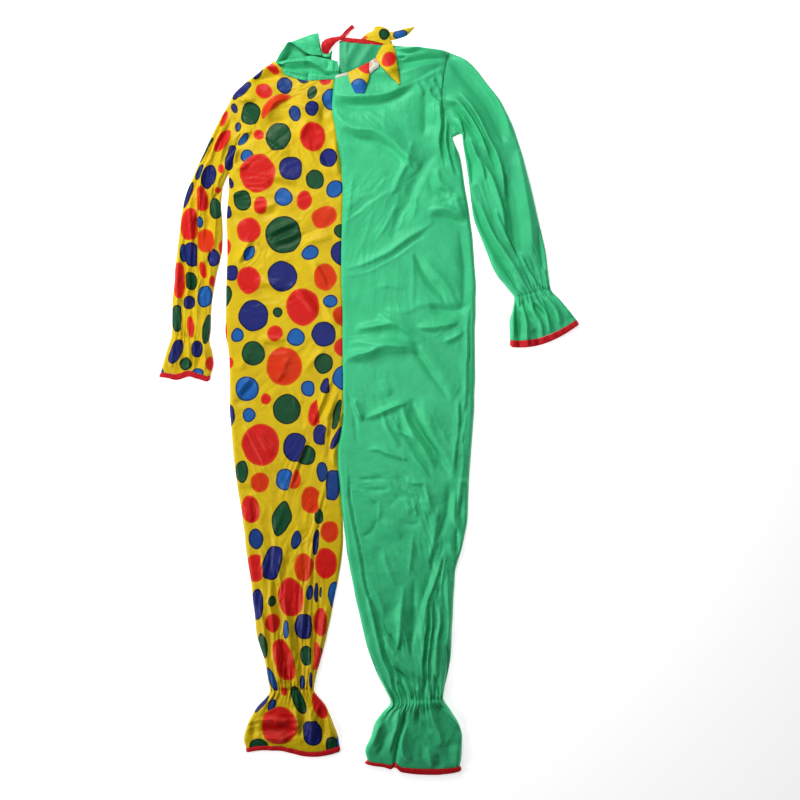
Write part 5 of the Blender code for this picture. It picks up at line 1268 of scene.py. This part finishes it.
# Falls of the strip, each by six places: its seam, floor, hollow, brow, turn and edge.
RUFFLE = [
    # from the slit at the back towards the shoulder
    ((-82, 730, 1.8), (-81, 735, 3), (-80, 740, 5), (-78, 749, 9), (-81, 745, 12), (-84, 736, 11)),
    ((-88, 731, 1.8), (-88, 734, 3), (-89, 737, 5), (-90, 741, 9), (-91, 739, 11), (-91, 734, 11)),
    ((-93, 733, 1.8), (-95, 738, 3), (-99, 744, 4), (-104, 750, 6), (-104, 747, 8), (-99, 737, 9)),
    ((-98, 735, 1.8), (-101, 744, 3), (-106, 761, 5), (-109, 786.5, 9), (-107.5, 762, 14), (-101, 738, 13)),
    ((-114, 736, 1.8), (-116, 745, 3), (-119, 764, 4), (-122, 784, 10), (-122, 762, 16), (-119, 738, 14)),
    ((-133, 735, 1.8), (-134, 744, 2), (-138, 759, 2.5), (-140, 777, 11), (-139, 762, 17), (-137, 745, 15)),
    ((-151, 733, 1.8), (-152, 740, 2), (-154, 750, 2.5), (-158, 770, 12), (-156, 765, 17), (-153, 756, 16)),
    ((-166, 731, 2), (-165, 737, 2), (-164, 747, 3), (-171, 762, 15), (-171, 765, 18), (-169, 764, 18)),
    ((-179, 728, 2.4), (-175, 734, 2), (-174, 740, 5), (-181, 746, 15), (-183, 749, 17), (-183, 750, 17)),
    ((-188, 724, 3), (-184, 728, 3), (-184, 731, 7), (-190, 734, 14), (-192, 735, 15), (-193, 736, 15)),
    ((-197, 714, 5), (-194, 716, 6), (-194, 719, 9), (-198, 721, 12), (-199, 722, 13), (-199, 724, 14)),
    # round the shoulder, and back to the centre front under a lip that folds over
    ((-195, 706, 5.5), (-192, 710, 8), (-190, 714, 6), (-190, 721, 6), (-190, 719, 13), (-188, 725, 13)),
    ((-181, 698, 6), (-179, 704, 9), (-177, 711, 3), (-175, 720, 11), (-174, 723, 16), (-173, 729, 13)),
    ((-163, 692, 6), (-161, 701, 10), (-159, 710, 2.5), (-158, 720, 12), (-158, 724, 17.5), (-157, 732, 13)),
    ((-147, 687.5, 6), (-146, 700, 10), (-143, 711, 2.5), (-142, 721, 12), (-142, 725, 17.5),
     (-142, 734, 13)),
    ((-131, 685.5, 6), (-129, 699, 9), (-128, 711, 2.5), (-127, 726, 7), (-127, 724, 17.5), (-127, 737, 12)),
    ((-120, 686, 6), (-119, 697, 9), (-118, 708, 2), (-117, 723, 5), (-117, 719, 18), (-116, 736, 12)),
    ((-110, 686.5, 6), (-109, 696, 9.5), (-108, 704, 1.8), (-107, 718, 5), (-107, 714, 17), (-106, 734, 12)),
    ((-102, 687, 6), (-101, 695, 9.5), (-100, 700, 2), (-99, 711, 5), (-99, 707, 15), (-98, 732, 12)),
    ((-94, 687.5, 6), (-93, 694, 9), (-92, 699, 3), (-92, 702, 8), (-92, 704, 13.5), (-93, 731, 12)),
    ((-82, 688, 6), (-81, 694, 9), (-80, 698, 5), (-80, 702, 9), (-80, 704, 13), (-81, 729, 11)),
    ((-69, 689, 6), (-66, 695, 8), (-64, 699, 5.5), (-64, 703, 8), (-64, 705, 11), (-67, 726, 9)),
]
RUFFLE_CREASES = [
    (1.4, 5, 3, (-156, 769), (-134, 762), (-114, 750), (-98, 740)),
    (-1.2, 4, 4, (-146, 770), (-124, 764), (-108, 754), (-98, 744)),
    (1.2, 5, 3, (-128, 782), (-116, 770), (-106, 756)),
    (1.6, 3, 3, (-190, 711), (-165, 704), (-140, 700), (-127, 692)),
    (-1.8, 3, 3, (-182, 705), (-158, 698), (-138, 690)), (-2, 3, 4, (-126, 708), (-131, 697), (-134, 686)),
    (1.4, 4, 3, (-76, 726), (-78, 714), (-76, 704)), (-1, 3, 3, (-90, 727), (-88, 716), (-92, 707)),
]
RUFFLE_STEP = 1.3
RUFFLE_LOW = 1.4         # it never comes nearer to the table
RUFFLE_WALL = 0.7
GATHER = 0.7             # height of the gathers along the seam
GATHERS = 26


def ruffle_sheet(falls):
    """A cubic through the falls, along the strip and across it, with creases and gathers.

    A gather is a rounded sine of the way along, uneven in its pitch, dying away from the seam.
    """
    table = np.array(falls, float)
    gaps = np.hypot(*np.diff(table.mean(axis=1)[:, :2], axis=0).T) + 1
    strip, along, _ = ease_rows(table.reshape(len(table), -1), gaps, RUFFLE_STEP)
    strip = strip.reshape(len(strip), 6, 3).transpose(1, 0, 2)
    gaps = np.linalg.norm(np.diff(strip, axis=0), axis=2).mean(axis=1)
    sheet, down, _ = ease_rows(strip.reshape(6, -1), gaps, RUFFLE_STEP)
    x, y, z = np.moveaxis(sheet.reshape(len(sheet), -1, 3), -1, 0)
    share, depth = along[None, :] / along[-1], down[:, None]
    turn = 2 * np.pi * GATHERS * (share + 0.012 * np.sin(23 * share) + 0.008 * np.sin(51 * share))
    gather = GATHER * (np.abs(np.sin(turn / 2 + depth * 0.03)) - 0.5) * np.exp(-depth / 7)
    height = z + crease_height(x, y, RUFFLE_CREASES)
    height = height + 0.8 * rumple(x, y, 13, 210) + 0.6 * crumple(x, y, 9, 211)
    return x, y, np.maximum(height + gather, RUFFLE_LOW)


x, y, z = ruffle_sheet(RUFFLE)
ruffle = cloth_mesh("ruffle_satin", x, y, z, [green_satin], RUFFLE_WALL)
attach(ruffle, "root")
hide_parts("ruffle")

# ---- Points of the collar, green half -------------------------------------------------------
# Four printed points are left of the collar round the green half. Two lie on the front, and two
# are thrown back over the table. Its pale reverse shows where a stretch between the first two is
# turned over, and along the band at the centre front.

Flap = namedtuple("Flap", "node cut left right belly dots")
FLAPS = [
    Flap("collar_point_1", (0.045, 0.068, 0.0024),
         [(-46, 702, 0.5), (-43, 690, 3), (-38, 674, 4), (-30, 656, 1)],
         [(0.2, 723.5, 1), (1, 693, 4), (-4, 676, 4), (-9, 655, 1)], 4.0,
         [Dot("blue", -21, 666, 19, 20, 0, 2.4), Dot("red", 0, 724, 28, 27)]),
    Flap("collar_point_2", (0.050, 0.100, 0.0033),
         [(30, 765, 1), (15.5, 735, 5), (27, 711, 5), (64, 674, 1)],
         [(48, 773, 1), (57, 742, 4), (63, 703, 6), (68, 673.5, 1)], 6.0,
         [Dot("red", 43, 727, 14, 18.5, -20, 2.2)]),
    Flap("collar_point_3", (0.030, 0.064, 0.0010),
         [(44, 773, 1.0), (56, 775, 1.6), (80, 783, 2.0), (99, 802, 1.0)],
         [(43, 790, 4.0), (58, 792, 5.0), (80, 799, 3.5), (99.6, 803, 1.0)], 4.0,
         [Dot("blue", 66.7, 785, 16, 9.5, 4)]),
    Flap("collar_point_4", (0.062, 0.036, 0.0018),
         [(-17, 776, 3.6), (-4, 788, 4.6), (7, 792, 6.0), (13, 803, 3.0)],
         [(46.5, 762, 4.4), (46, 778, 5.4), (43, 794, 5.0), (29, 802.5, 3.0)], 5.0,
         [Dot("pine", 32, 784.5, 11.5, 11.5), Dot("scarlet", -12, 776, 9, 5, 30)]),
    Flap("collar_turnback", (0.022, 0.030, 0.0006),
         [(0.8, 724, 1.5), (0.8, 714, 4), (1.2, 704, 4.5), (2, 696, 2.0)],
         [(15, 733, 2.5), (19, 724, 4), (22, 716, 4.5), (22, 710, 2.0)], 2.0,
         [Dot("red", 14, 727, 6, 7), Dot("red", 2, 718, 5, 10)]),
    Flap("collar_band", (0.010, 0.034, 0.0003),
         [(-79, 693, 0.4), (-79, 690, 0.6), (-79, 687, 0.4)],
         [(-46, 703, 0.4), (-46, 699.5, 0.6), (-46, 696, 0.4)], 0.6, []),
]
REVERSED = ("collar_turnback", "collar_band")
FLAP_STEP = 1.2
FLAP_WALL = 0.7
FLAP_COLUMNS = 22
YOKE_LEVEL = 640.0       # no flap reaches below it
FLAP_NEAR = 90.0         # only cloth this near to a flap, along X, can lie under it


def under_height(x, y):
    """Height of what lies under a place: the nearest point of either front, or the table."""
    fronts = [np.stack([a[:, ::2].ravel(), b[:, ::2].ravel(), c[:, ::2].ravel()], -1)
              for a, b, c in ((green_x, green_y, green_z), (dotted_x, dotted_y, dotted_z))]
    fronts = np.concatenate(fronts)
    fronts = fronts[(fronts[:, 1] > YOKE_LEVEL) & (np.abs(fronts[:, 0] - x.mean()) < FLAP_NEAR)]
    away = np.hypot(x.ravel()[:, None] - fronts[:, 0], y.ravel()[:, None] - fronts[:, 1])
    nearest = away.argmin(axis=1)
    fade = np.clip(1 - (away.min(axis=1) - 4) / 8, 0, 1)
    return (fronts[nearest, 2] * fade).reshape(x.shape)


def flap_sheet(flap):
    """A sheet between two curved sides, straight across but for its belly, laid on what is under."""
    table = np.concatenate([np.array(flap.left, float), np.array(flap.right, float)], axis=1)
    rows, along, _ = ease_rows(table, mean_gaps(table[:, [0, 1, 3, 4]]), FLAP_STEP)
    u = np.linspace(0, 1, FLAP_COLUMNS + 1)[None, :]
    x, y, lift = (rows[:, k, None] * (1 - u) + rows[:, k + 3, None] * u for k in range(3))
    share = along[:, None] / along[-1]
    belly = flap.belly * 4 * u * (1 - u) * np.sin(np.pi * (0.1 + 0.8 * share))
    z = under_height(x, y) + lift + belly + 0.4 * crumple(x, y, 8, 231) + 0.5 * rumple(x, y, 14, 232)
    return x, y, np.maximum(z, FLAP_WALL + 0.3)


for flap in FLAPS:
    x, y, z = flap_sheet(flap)
    shown = [dotted_reverse] if flap.node in REVERSED else [dotted_satin, dotted_reverse]
    piece = cloth_mesh(f"{flap.node}_satin", x, y, z, shown, FLAP_WALL)
    print_dots(piece, ink_depths(x, y, flap.dots))
    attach(piece, "root")
    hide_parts(flap.node)

# ---- Binding of the back neck, and ties -----------------------------------------------------
# The same red tape binds the edge of the back at the neck, and runs on as two ties that close the
# slit. One loops back from the dotted side, and the other ends free above the neck.

# Each tape's node and cut, and its stations: x, y and z of its middle, its width and its cup.
TAPES = {
    ("back_neck_binding", 0.010, 0.092): [
        (31, 767.5, 3.0, 8.5, -1.0), (15, 768.5, 3.0, 9, -1.2), (-12, 771, 3.0, 9.5, -1.2),
        (-38, 773.5, 3.0, 9.5, -1.2), (-60, 775.5, 3.2, 8.5, -1.0),
    ],
    ("tie_right", 0.010, 0.044): [
        (-64, 775.5, 4.6, 7, -0.8), (-56, 781, 5.0, 9.5, -1.4), (-48, 789.5, 5.0, 9, 1.2),
        (-41, 797.5, 4.5, 8.5, -1.0), (-33.5, 803.5, 3.0, 9.5, 0.8),
    ],
    ("tie_left", 0.014, 0.057): [
        (-90, 741.5, 3.0, 8, -0.6), (-93, 750, 7.0, 17, -2.4), (-91, 761, 10.0, 23, -4.0),
        (-82, 769, 9.0, 19, -3.6), (-72, 774, 7.0, 12, -2.0), (-62, 777.5, 6.4, 8.5, -1.2),
    ],
}
TAPE_COLUMNS = 14
TAPE_WALL = 0.9


def tape_sheet(stations):
    """A ribbon along a cubic through its stations, cupped across, with a crease down its middle."""
    table = np.array(stations, float)
    rows, along, _ = ease_rows(table, np.hypot(*np.diff(table[:, :2], axis=0).T), 1.0)
    heading = np.gradient(rows[:, :2], axis=0)
    heading /= np.hypot(*heading.T)[:, None]
    v = np.linspace(-1, 1, TAPE_COLUMNS + 1)[None, :]
    half = rows[:, 3, None] / 2
    x = rows[:, 0, None] - heading[:, 1, None] * half * v
    y = rows[:, 1, None] + heading[:, 0, None] * half * v
    z = rows[:, 2, None] + rows[:, 4, None] * v**2 - 0.5 * np.exp(-((v / 0.12) ** 2))
    return x, y, z + 0.35 * rumple(x, y, 5, 251) + 0.3 * crumple(x, y, 8, 252)


for (part, width, length), stations in TAPES.items():
    x, y, z = tape_sheet(stations)
    tape = cloth_mesh(f"{part}_tape", x, y, z, [red_tape], TAPE_WALL)
    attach(tape, "root")
    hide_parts(part)
